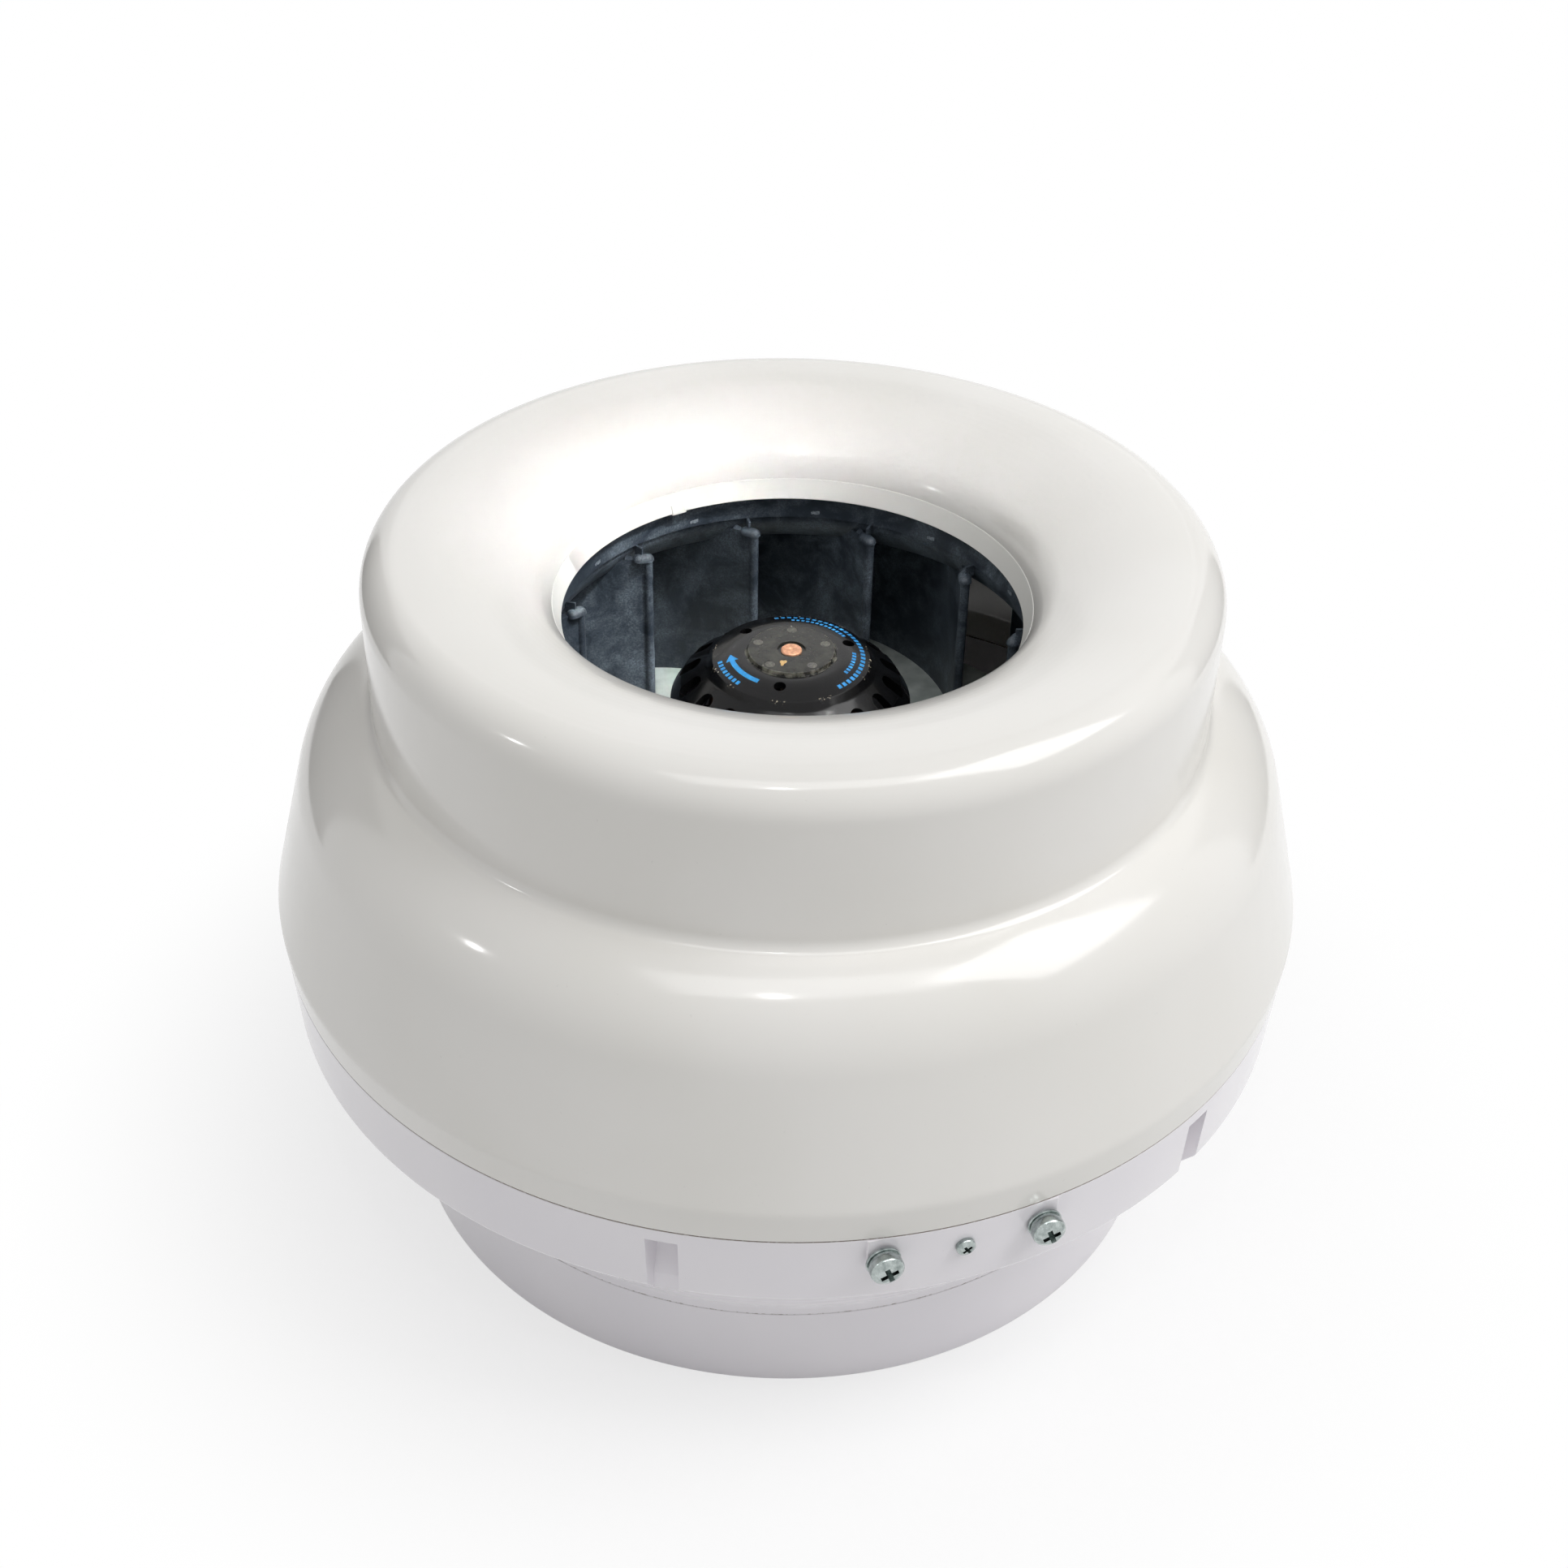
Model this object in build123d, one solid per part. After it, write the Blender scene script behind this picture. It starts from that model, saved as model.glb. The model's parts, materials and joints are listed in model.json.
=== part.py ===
from build123d import *

import os
from math import cos, hypot, radians, sin, sqrt, tan

# Inline centrifugal duct fan for 315 mm round duct: plastic casing, external-rotor motor.
#
# Frame: millimetres, Z up along the air path, origin on the floor under the middle of the
# outlet spigot. Air enters at the top (+Z) and leaves at the bottom. The bracket screws
# face -Y and the terminal box faces +Y. Seen from the inlet the rotor turns clockwise.

# ---- casing ---------------------------------------------------------------------------
duct_d = 315.0             # nominal duct bore that both spigots plug into
height = 280.0             # outlet end to inlet rim
casing_d = 402.2           # widest part of the casing, at the belly
wall = 3.0                 # moulded wall of every casing part
shell_gap = 0.2            # clearance between two parts that fit together
weld = 0.5                 # share of a wall that a moulded-on feature grows into

rim_round = 14.0           # rolled outer edge of the inlet rim
rim_land = 0.5             # flat between rim rounding and bellmouth
collar_l = 63.5            # rim down to the sharp corner between collar and dome
collar_share = 0.124       # share of the dome's run that the fillet at the collar takes
dome_share = 0.83          # share of the dome's run that the dome's own rounding takes
dome_slope = 72.0          # degrees from vertical where the dome reaches the collar
belly_drop = 142.2         # rim down to the belly
belly_round = 8.0
skirt_slope = 14.7         # degrees from vertical of the wall above the belly
seam_drop = 13.3           # belly down to the joint between the two shells
seam_draft = 1.1           # how far the joint lies inside the belly
band_h = 30.0              # straight band under the joint
band_draft = 1.6           # how far the band narrows downwards
band_round = 2.5
spigot_l = 37.5            # outlet end up to the joint between spigot and lower shell
socket_l = 4.5             # straight stretch of the lower shell above that joint
socket_round = 6.0
lip_depth = 19.0           # how far the upper shell's lip reaches below the joint
lip_root = 5.0             # how far the lip overlaps the skirt above the joint
lip_share = 0.8            # lip thickness as a share of the wall

# ---- inlet bellmouth and nozzle -------------------------------------------------------
throat_r = 88.5            # radius where the bellmouth would stand vertical
throat_round = 20.4        # tight arc at the throat
throat_turn = 57.0         # degrees turned by the tight arc
shell_throat_turn = 14.0   # the shell ends this far short of vertical
nozzle_in = 2.6            # how much narrower the nozzle's tip is than the throat
nozzle_reach = 1.5         # how far the tip reaches into the impeller's neck
nozzle_wall = 1.4
nozzle_skirt_lift = 2.1    # flat clip flange above the impeller's neck
nozzle_clip_gap = 0.5
nozzle_tab = (9.0, 1.0, 3.4)   # width, thickness and height of the locating tab
nozzle_tab_turn = 6.5      # degrees round from +Y

# ---- snap pockets in the band ---------------------------------------------------------
pocket_count = 6
pocket_w = 12.5
pocket_drop = 5.7          # joint down to the pocket's roof
pocket_depth_top = 12.0
pocket_depth_low = 6.0
pocket_wall = 2.2

# ---- outlet spigot and guide vanes ----------------------------------------------------
ledge_z = 24.0             # ledge the guide vanes stand on
ledge_w = 6.0
vane_count = 8
vane_t = 2.6
vane_drop = 2.5            # vane tops below the band
vane_turn = 44.0           # degrees that a vane leans at its top
vane_gap = 3.2             # between vane tips and the lower shell's wall
vane_foot_w = 9.0          # pad on each vane tip that stands on the ledge
vane_foot_h = 16.0
hub_r = 84.0
hub_low_r = 70.0
hub_low_z = 20.0
hub_shoulder = 16.0
hub_wall = 3.0

# ---- impeller -------------------------------------------------------------------------
impeller_d = 250.0
impeller_h = 88.0          # back plate to the neck's top edge
blade_count = 11
blade_in = 4.5             # how far the leading edges lie inside the throat
blade_sweep = 39.0         # degrees from leading to trailing edge
blade_camber = 11.3        # height of the blade's arc over its chord
blade_t = 2.2
blade_bead_r = 1.9         # round bead along each leading edge
first_blade = -121.85      # degrees from -Y
nub_drop = 15.5            # neck's top edge down to the nubs beside the leading edges
nub_r = 2.1
nub_share = 0.09           # share of the blade's length that its nub covers
back_plate_t = 1.2
rim_overhang = 0.4         # back plate and shroud beyond the blades
neck_clear = 0.1           # how much wider the neck's bore is than the throat
neck_drop = 1.5            # throat down to the neck's top edge
neck_l = 8.0               # straight stretch of the neck
shroud_round = 20.0
shroud_slope = 30.0        # degrees below horizontal of the outer shroud
shroud_t = 2.0
rivet_count = 6
rivet_r = 1.55
rivet_head_r = 3.0
rivet_head_h = 1.2
rivet_clear = 0.05

# ---- motor ----------------------------------------------------------------------------
rotor_r = 46.0
rotor_wall = 2.5
rotor_below = 9.0          # rotor's open end below the back plate
cap_above = 68.4           # rotor's end face above the back plate
cap_in = 16.0              # how far the end face lies inside the rotor's wall
cap_disc_r = 16.5
cap_disc_h = 1.4
cap_slope_w = 7.8          # the end face slopes down over this width to its edge
cap_edge_drop = 2.6
cap_hole_count = 3
cap_hole_r = 2.3
cap_hole_in = 7.0          # holes inside the end face's edge
cap_hole_start = 91.4      # degrees from -Y
shoulder_in = 4.0
shoulder_drop = 13.0       # end face down to the shoulder
step_drop = 20.0           # end face down to the rotor's straight wall
rotor_vents = 18
rotor_vent_start = 4.0     # degrees from -Y
rotor_vent_w = 6.5
rotor_vent_l = 11.0
rotor_vent_in = 7.0        # down the slope from the end face's edge to a vent
flange_out = 14.0          # rotor flange that the back plate is riveted to
flange_t = 2.4
shaft_r = 4.0
shaft_above = 1.5          # shaft end above the rotor's end face
shaft_chamfer = 0.4
shaft_end_gap = 1.0        # lower end of the shaft above the hub's top plate
shaft_boss_r = 7.0
shaft_boss_depth = 7.5
counterbore = (1.4, 0.8)   # width and depth of the step around the shaft end
bearing_r = 11.0           # 608 bearing: 22 mm outside, 8 mm bore, 7 mm wide
bearing_w = 7.0
bearing_race_t = 2.2
bearing_inner_r = 6.0
bearing_clear = 0.15
bearing_shield_t = 0.8
bearing_shield_inset = 0.4
running_clear = 0.05
stator_in = 12.0           # how far the stator lies inside the rotor's wall
air_gap = 0.5
stack_above = 6.0          # iron stack above the back plate
stack_h = 32.0
stator_slots = 12
slot_w = 6.4
slot_depth = 11.0
slot_tooth = 2.0           # iron left outside each slot
slot_mouth_w = 2.4
winding_h = 8.0
winding_round = 2.5
winding_over_bearing = 4.0 # upper bearing's end above the windings
base_out = 4.0             # motor base beyond the rotor's wall
base_t = 5.0
base_ribs = 12
base_rib_t = 2.4
base_rib_h = 9.0
base_rib_in = 3.0
hub_below = 29.0           # motor base below the back plate
tube_wall = 3.0
bearing_stop = 1.5         # shoulder between the two bearing seats
tube_over = 1.0
motor_screw_count = 4
motor_screw_in = 12.0      # screw circle inside the base's edge
motor_screw_r = 2.4
motor_screw_head = (9.0, 3.4)
motor_screw_short = 0.5    # screw end below the base's upper face

# ---- bracket and lock screws ----------------------------------------------------------
bracket_pitch = 58.6       # between the two M6 bracket screws
bracket_drop = 9.9         # joint down to the bracket screws
m6_r = 3.0
m6_clear = 0.3
m6_head = (12.0, 4.6)      # diameter and height
m6_nut = (10.0, 5.0)       # across flats and height
spring_washer_r = 5.5
spring_washer_t = 1.6
spring_washer_split = 0.8
plain_washer_r = 6.2
plain_washer_t = 1.0
washer_clear = 0.2
bracket_standoff = 0.8     # plain washer face above the moulded pad
bracket_overrun = 1.0      # screw end beyond the nut's seat
boss_r = 9.0
boss_depth = 13.0
pad_w = 10.5
pad_raise = 0.6
lock_drop = 10.9
lock_r = 1.75
lock_head = (7.0, 2.6)
lock_length = 9.0
head_round = 0.45          # rounding of a pan head as a share of its height
recess_width = 0.55        # cross recess as a share of the head's diameter
recess_depth = 0.6         # and of its height
recess_bar = 4             # recess width over the width of one of its bars

# ---- terminal box ---------------------------------------------------------------------
box_w = 104.0
box_h = 70.0
box_drop = 6.5             # joint between the shells down to the box's top
box_stand = 8.9            # rim that the gasket lies on, beyond the belly
box_wall = 3.0
box_round = 5.0
box_play = 2.0             # room between loose parts in the box
gasket_t = 1.0
gasket_w = 2.0
gasket_in = 0.5
lid_t = 3.0
lid_round = 1.2
lid_boss_r = 4.0
lid_screw_inset = 6.0
lid_screw_head = (6.0, 1.9)
lid_screw_r = 1.3
lid_screw_l = 9.0
lid_thread = 0.1           # screw core inside its moulded hole
lid_hole_r = 1.8
lid_sink = (3.4, 1.4)      # radius and depth of the countersink
capacitor_r = 12.0
capacitor_round = 1.2
block_size = (28.0, 18.0, 12.0)
block_in = 15.0            # middle of terminal block and gland behind the rim
block_poles = 5
block_screw_depth = 5.0
block_screw_share = 0.3
block_wire_w = 3.2
block_wire_z = (2.0, 5.5)
block_wire_depth = 6.0
lead_rise = 28.0           # hole for the motor lead above the box's underside
lead_r = 4.0
gland_r = 8.0              # M16 thread
gland_hex = 19.0
gland_clear = 5.0          # locknut to the nearest screw post
gland_body_l = 7.0
gland_neck_l = 6.0
gland_neck_in = 0.6
gland_nut_l = 13.0
gland_nut_round = 4.0
gland_grips = 12
gland_grip_w = 1.6
gland_grip_depth = 0.7
gland_grip_land = 4.0      # smooth end of the nut above its grips
gland_bore_r = 4.5
gland_mouth = 0.6          # nut's mouth around the seal's bore
seal_wall = 1.5
seal_span = (-4.0, 6.0)
locknut_l = 4.0
stem_over = 1.0            # gland's stem beyond its locknut

# ---- places that follow from the sizes ------------------------------------------------
spigot_r = duct_d / 2
belly_r = casing_d / 2
seam_r = belly_r - seam_draft
band_r = seam_r - band_draft
collar_z = height - collar_l
belly_z = height - belly_drop
seam_z = belly_z - seam_drop
band_z = seam_z - band_h
socket_top_z = spigot_l + socket_l
pocket_top_z = seam_z - pocket_drop
bracket_z = seam_z - bracket_drop
lock_z = seam_z - lock_drop

mouth_r = spigot_r - rim_round - rim_land
swing = radians(throat_turn)
wide_round = (mouth_r - throat_r - throat_round * (1 - cos(swing))) / cos(swing)
throat_centre = (throat_r + throat_round,
                 height - wide_round + (wide_round - throat_round) * sin(swing))

neck_r = throat_r + neck_clear
neck_top_z = throat_centre[1] - neck_drop
neck_low_z = neck_top_z - neck_l
nozzle_tip_r = throat_r - nozzle_in
nozzle_tip_z = neck_top_z - nozzle_reach
nub_z = neck_top_z - nub_drop
blade_r_in = throat_r - blade_in
blade_r_out = impeller_d / 2
back_plate_z = neck_top_z - impeller_h

cap_z = back_plate_z + cap_above
cap_edge_z = cap_z - cap_edge_drop
cap_r = rotor_r - cap_in
shoulder_r = rotor_r - shoulder_in
shoulder_z = cap_z - shoulder_drop
rotor_step_z = cap_z - step_drop
rotor_low_z = back_plate_z - rotor_below
flange_r = rotor_r + flange_out
flange_low_z = back_plate_z - back_plate_t - flange_t
rivet_pitch_r = rotor_r + flange_out / 2
stator_r = rotor_r - stator_in
stack_low_z = back_plate_z + stack_above
stack_top_z = stack_low_z + stack_h
bearing_top_z = stack_top_z + winding_h + winding_over_bearing
hub_top_z = back_plate_z - hub_below
base_r = rotor_r + base_out
motor_screw_pitch_r = base_r - motor_screw_in
vane_top_z = band_z - vane_drop
vane_straight_z = (ledge_z + vane_top_z) / 2
vane_tip_r = spigot_r - 2 * wall - 2 * shell_gap

box_top_z = seam_z - box_drop
box_low_z = box_top_z - box_h
box_middle_z = (box_low_z + box_top_z) / 2
post_reach = box_w / 2 - lid_screw_inset - lid_boss_r - box_play
block_x = post_reach - block_size[0] / 2
capacitor_l = 2 * post_reach - block_size[0] - box_play
capacitor_z = box_low_z + box_wall + capacitor_r + shell_gap
gland_z = box_low_z + lid_screw_inset + lid_boss_r + gland_hex / sqrt(3) + gland_clear


# ---- helpers --------------------------------------------------------------------------
def polar(radius, azimuth):
    """Plan point at a radius; the azimuth is counted from -Y towards +X in degrees."""
    return (radius * sin(radians(azimuth)), -radius * cos(radians(azimuth)))


def spin(outline):
    """Revolve a closed outline of (radius, height) lines about Z."""
    return revolve(Plane.XZ * make_face(outline), Axis.Z)


def turned(*points):
    """Revolve a polygon of (radius, height) points about Z."""
    return spin(Polyline(*points, close=True))


def ring(r_in, r_out, z_low, z_top):
    return turned((r_in, z_low), (r_out, z_low), (r_out, z_top), (r_in, z_top))


def around(piece, count, start=0.0):
    """Copies of a piece turned about Z at even steps."""
    return [Rot(0, 0, start + 360 / count * i) * piece for i in range(count)]


def block(x0, x1, y0, y1, z0, z1):
    centre = ((x0 + x1) / 2, (y0 + y1) / 2, (z0 + z1) / 2)
    return Pos(*centre) * Box(x1 - x0, y1 - y0, z1 - z0)


def rod(radius, length):
    """Cylinder that grows from the origin along +Z."""
    return Cylinder(radius, length, align=(Align.CENTER, Align.CENTER, Align.MIN))


def facing(x, y, z, direction):
    """Placement whose local +Z points along a direction."""
    return Plane(origin=(x, y, z), z_dir=direction)


def frontwards(x, y, z):
    """Placement whose local +Z points along -Y, out of the casing's front."""
    return facing(x, y, z, (0, -1, 0))


def backwards(x, y, z):
    """Placement whose local +Z points along +Y, out of the casing's back."""
    return facing(x, y, z, (0, 1, 0))


def meet(p, slope_p, q, slope_q):
    """Crossing of two lines through p and q; slopes are degrees left of vertical."""
    ux, uz = -sin(radians(slope_p)), cos(radians(slope_p))
    vx, vz = -sin(radians(slope_q)), cos(radians(slope_q))
    t = ((q[0] - p[0]) * vz - (q[1] - p[1]) * vx) / (ux * vz - uz * vx)
    return (p[0] + t * ux, p[1] + t * uz)


def save(name, *pieces):
    solids = [s for piece in pieces for s in piece.solids()]
    shape = solids[0] if len(solids) == 1 else Compound(solids)
    export_step(shape, f"parts/{name}.step")


# ---- casing outlines ------------------------------------------------------------------
def dome_corner():
    """Sharp corner between skirt and dome."""
    return meet((belly_r, belly_z), skirt_slope, (spigot_r, collar_z), dome_slope)


def upper_rounds():
    """Radii at belly, dome, collar and rim; dome and collar share the dome's run."""
    corner = dome_corner()
    run = hypot(corner[0] - spigot_r, corner[1] - collar_z)
    dome = dome_share * run / tan(radians(dome_slope - skirt_slope) / 2)
    collar = collar_share * run / tan(radians(dome_slope) / 2)
    return [belly_round, dome, collar, rim_round]


def throat_edge():
    """Point where the upper shell's bellmouth ends and the nozzle takes over."""
    turn = radians(shell_throat_turn)
    return (throat_centre[0] - throat_round * cos(turn),
            throat_centre[1] + throat_round * sin(turn))


def upper_outline():
    """Outer face of the upper shell from the joint over the rim into the throat."""
    corners = [(seam_r, seam_z), (belly_r, belly_z), dome_corner(), (spigot_r, collar_z),
               (spigot_r, height), (mouth_r, height)]
    outside = FilletPolyline(*corners, radius=upper_rounds())
    wide_arc = CenterArc((mouth_r, height - wide_round), wide_round, 90, 90 - throat_turn)
    tight_arc = CenterArc(throat_centre, throat_round, 180 - throat_turn,
                          throat_turn - shell_throat_turn)
    return Wire(outside.edges() + wide_arc.edges() + tight_arc.edges())


def lower_outline():
    """Outer face of the lower shell from the joint between the shells down."""
    corners = [(seam_r, seam_z - shell_gap), (band_r, band_z), (spigot_r, socket_top_z),
               (spigot_r, spigot_l)]
    return FilletPolyline(*corners, radius=[band_round, socket_round])


def flank_r(z):
    """Outer radius of the lower shell's sloping flank."""
    share = (z - socket_top_z) / (band_z - socket_top_z)
    return spigot_r + share * (band_r - spigot_r)


def flank_slant():
    """Length of the flank's slope over its height."""
    return hypot(band_r - spigot_r, band_z - socket_top_z) / (band_z - socket_top_z)


def band_outer_r(z):
    share = (z - band_z) / (seam_z - band_z)
    return band_r + share * (seam_r - band_r)


def lower_core(inset):
    """Solid inside of the lower shell, held back from its outer face by an inset."""
    return turned((0, 0), (spigot_r - inset, 0), (spigot_r - inset, socket_top_z),
                  (band_r - inset * flank_slant(), band_z), (band_r - inset, band_z),
                  (seam_r - inset, seam_z + wall), (0, seam_z + wall))


# ---- casing parts ---------------------------------------------------------------------
def pocket_wedge(grow):
    """Snap pocket as a wedge at -Y, open outwards and downwards; grow adds a wall."""
    outside = seam_r + wall
    floor_low_z = band_z - 2 * pocket_depth_low
    face = Plane.YZ * make_face(Polyline(
        (-outside, floor_low_z), (-outside, pocket_top_z + grow),
        (pocket_depth_top - band_outer_r(pocket_top_z) + grow, pocket_top_z + grow),
        (pocket_depth_low - band_r + grow, band_z),
        (pocket_depth_low - band_r + grow, floor_low_z), close=True))
    return extrude(face, pocket_w / 2 + grow, both=True)


def pockets(grow):
    return around(pocket_wedge(grow), pocket_count, 180 / pocket_count)


def bracket_xs():
    return (-bracket_pitch / 2, bracket_pitch / 2)


def pad_face_y():
    """Outer face of the flat pads under the bracket screws."""
    return -sqrt(band_outer_r(bracket_z) ** 2 - (bracket_pitch / 2) ** 2) - pad_raise


def bracket_boss(x):
    """Flat pad on the band and the boss behind it that holds the nut."""
    depth = boss_depth - pad_raise - weld * wall
    boss = frontwards(x, pad_face_y() + boss_depth, bracket_z) * rod(boss_r, depth)
    pad = block(x - pad_w / 2, x + pad_w / 2, pad_face_y(), pad_face_y() + wall,
                bracket_z - pad_w / 2, seam_z - shell_gap)
    return [boss, pad]


def bracket_hole(x):
    hole = frontwards(x, 0, bracket_z) * rod(m6_r + m6_clear, 2 * seam_r)
    seat = frontwards(x, pad_face_y() + boss_depth, bracket_z)
    return [hole, seat * hexagon(m6_nut[0] + 2 * shell_gap, m6_nut[1])]


def lower_shell():
    shell = spin(offset(lower_outline(), wall, side=Side.RIGHT, closed=True))
    inside = lower_core(weld * wall)
    shell += [wedge & inside for wedge in pockets(pocket_wall)]
    for x in bracket_xs():
        shell += bracket_boss(x)
    shell -= pockets(0)
    for x in bracket_xs():
        shell -= bracket_hole(x)
    shell -= frontwards(0, 0, lock_z) * rod(lock_r + shell_gap, 2 * seam_r)
    return shell - lead_hole()


def lead_hole():
    """Way for the motor lead through the casing into the terminal box."""
    return backwards(block_x, 0, box_low_z + lead_rise) * rod(lead_r, box_face_y() - box_wall)


def hexagon(across_flats, length):
    return extrude(RegularPolygon(across_flats / 2, 6, major_radius=False), length)


def shell_lip():
    """Thin lip that centres the upper shell inside the lower one."""
    r_out = band_outer_r(seam_z - lip_depth) - wall - shell_gap
    r_in = r_out - wall * lip_share
    root_r = seam_r - weld * wall
    lip = turned((r_in, seam_z - lip_depth), (r_out, seam_z - lip_depth), (r_out, seam_z),
                 (root_r, seam_z), (root_r, seam_z + lip_root), (r_in, seam_z + lip_root))
    reach = pocket_w / 2 + pocket_wall + 2 * shell_gap
    notch = block(-reach, reach, -seam_r, -seam_r / 2, 0, seam_z)
    gaps = around(notch, pocket_count, 180 / pocket_count)
    reach = boss_r + 2 * shell_gap
    for x in bracket_xs():
        gaps.append(block(x - reach, x + reach, -seam_r, -seam_r / 2, 0, seam_z))
    return lip - gaps


def upper_shell():
    shell = spin(offset(upper_outline(), wall, side=Side.LEFT, closed=True))
    shell += shell_lip()
    return shell - frontwards(0, 0, lock_z) * rod(lock_r - shell_gap / 2, seam_r)


def inlet_nozzle():
    """Ring that carries the bellmouth on into the impeller, with a small locating tab."""
    turn = radians(shell_throat_turn)
    edge_r, edge_z = throat_edge()
    cap_out_r, cap_out_z = edge_r + wall * cos(turn), edge_z - wall * sin(turn) - shell_gap
    lean = (edge_r - nozzle_tip_r) / (edge_z - nozzle_tip_z)
    skirt_z = neck_top_z + nozzle_skirt_lift
    skirt_r = nozzle_tip_r + nozzle_wall + (skirt_z - nozzle_tip_z) * lean
    clip_r = cap_out_r + nozzle_clip_gap
    body = turned((nozzle_tip_r, nozzle_tip_z), (nozzle_tip_r + nozzle_wall, nozzle_tip_z),
                  (skirt_r, skirt_z), (clip_r + nozzle_wall, skirt_z),
                  (clip_r + nozzle_wall, edge_z), (clip_r, edge_z), (clip_r, cap_out_z),
                  (cap_out_r, cap_out_z), (edge_r, edge_z - shell_gap))
    w, t, h = nozzle_tab
    tab = block(-w / 2, w / 2, nozzle_tip_r - t, nozzle_tip_r + nozzle_wall,
                nozzle_tip_z, nozzle_tip_z + h)
    return body + Rot(0, 0, nozzle_tab_turn) * tab


def outlet_spigot():
    """Spigot with a sleeve inside the lower shell and a ledge under the guide vanes."""
    top = spigot_l - shell_gap
    inside = spigot_r - wall
    sleeve_out = inside - shell_gap
    sleeve_in = sleeve_out - wall
    ledge_r = sleeve_in - ledge_w
    return turned((inside, 0), (spigot_r, 0), (spigot_r, top), (sleeve_out, top),
                  (sleeve_out, socket_top_z), (sleeve_in, socket_top_z), (sleeve_in, ledge_z),
                  (ledge_r, ledge_z), (ledge_r, ledge_z - wall),
                  (inside, ledge_z - ledge_w - wall))


# ---- guide vanes ----------------------------------------------------------------------
def hub_corners(inset):
    """Corners of the hub's outer face, from the top plate down, moved in by an inset."""
    return [(0, hub_top_z - inset), (hub_r - hub_shoulder - inset, hub_top_z - inset),
            (hub_r - inset, hub_top_z - hub_shoulder - inset / 2),
            (hub_low_r - inset, hub_low_z)]


def guide_vane():
    """One vane with its foot, on the +X side: upright below, bent sideways above."""
    turn = radians(vane_turn)
    bend_r = (vane_top_z - vane_straight_z) / sin(turn)
    upright = Line((0, ledge_z), (0, vane_straight_z))
    bend = CenterArc((bend_r, vane_straight_z), bend_r, 180, -vane_turn)
    strip = Plane.YZ * trace([upright, bend], vane_t)
    root_r = hub_low_r - hub_wall
    reach = turned((root_r, 0), (vane_tip_r, 0), (vane_tip_r, socket_top_z),
                   (flank_r(vane_top_z) - wall - vane_gap, vane_top_z + wall),
                   (root_r, vane_top_z + wall))
    foot = block(vane_tip_r - wall, seam_r, -vane_foot_w / 2, vane_foot_w / 2,
                 ledge_z, ledge_z + vane_foot_h)
    return (extrude(strip, seam_r) & reach) + (foot & reach)


def guide_vanes():
    """Hub under the motor with its ring of vanes."""
    body = turned(*hub_corners(0), (0, hub_low_z))
    body += around(guide_vane(), vane_count, 180 / vane_count)
    body -= turned(*hub_corners(hub_wall), (0, hub_low_z))
    plate_z = hub_top_z - hub_wall
    for x, y in motor_screw_spots():
        body -= Pos(x, y, plate_z) * rod(motor_screw_r + m6_clear, hub_wall)
    return body - Pos(0, 0, plate_z) * rod(bearing_r, hub_wall)


def motor_screw_spots():
    step = 360 / motor_screw_count
    return [polar(motor_screw_pitch_r, step * (i + 0.5)) for i in range(motor_screw_count)]


# ---- motor ----------------------------------------------------------------------------
def motor_base():
    """Die-cast base: flange, cooling ribs and the tube that carries stator and bearings."""
    low, top = hub_top_z, bearing_top_z + tube_over
    tube_r = bearing_r + tube_wall
    rib = block(tube_r - weld * tube_wall, base_r - base_rib_in, -base_rib_t / 2,
                base_rib_t / 2, low, low + base_t + base_rib_h)
    body = ring(0, base_r, low, low + base_t) + ring(0, tube_r, low, top)
    body += around(rib, base_ribs, 180 / base_ribs)
    body -= ring(0, bearing_r - bearing_stop, low, top)
    body -= ring(0, bearing_r, low, low + bearing_w)
    body -= ring(0, bearing_r, bearing_top_z - bearing_w, top)
    for x, y in motor_screw_spots():
        body -= Pos(x, y, low) * rod(motor_screw_r + running_clear, base_t)
    return body


def bearing_spots():
    return (hub_top_z, bearing_top_z - bearing_w)


def bearing_outer(z):
    """Outer race with a shield disc at each side."""
    inner_r = bearing_inner_r + bearing_clear
    top_inset = bearing_w - bearing_shield_inset - bearing_shield_t
    race = ring(bearing_r - bearing_race_t, bearing_r - running_clear, z, z + bearing_w)
    for inset in (bearing_shield_inset, top_inset):
        low = z + inset
        race += ring(inner_r, bearing_r - weld * bearing_race_t, low, low + bearing_shield_t)
    return race


def bearing_inner(z):
    return ring(shaft_r + running_clear / 2, bearing_inner_r, z, z + bearing_w)


def stator_core():
    core = ring(bearing_r + tube_wall + running_clear, stator_r, stack_low_z, stack_top_z)
    slot_out = stator_r - slot_tooth
    slot = block(slot_out - slot_depth, slot_out, -slot_w / 2, slot_w / 2,
                 stack_low_z, stack_top_z)
    mouth = block(slot_out - slot_tooth, stator_r + slot_tooth, -slot_mouth_w / 2,
                  slot_mouth_w / 2, stack_low_z, stack_top_z)
    return core - around(slot + mouth, stator_slots)


def stator_windings():
    """One winding head above the stack and one below."""
    r_out = stator_r - slot_tooth - air_gap
    r_in = stator_r - slot_tooth - slot_depth
    coils = [ring(r_in, r_out, stack_top_z, stack_top_z + winding_h),
             ring(r_in, r_out, stack_low_z - winding_h, stack_low_z)]
    return [fillet(coil.edges().filter_by(GeomType.CIRCLE), winding_round) for coil in coils]


def cup_body(inset):
    """Turned body of the rotor cup, drawn in by an inset on wall and end face."""
    return turned((0, rotor_low_z), (rotor_r - inset, rotor_low_z),
                  (rotor_r - inset, rotor_step_z - inset),
                  (shoulder_r - inset, shoulder_z - inset), (cap_r - inset, cap_edge_z - inset),
                  (cap_r - cap_slope_w - inset, cap_z - inset), (0, cap_z - inset))


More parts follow.
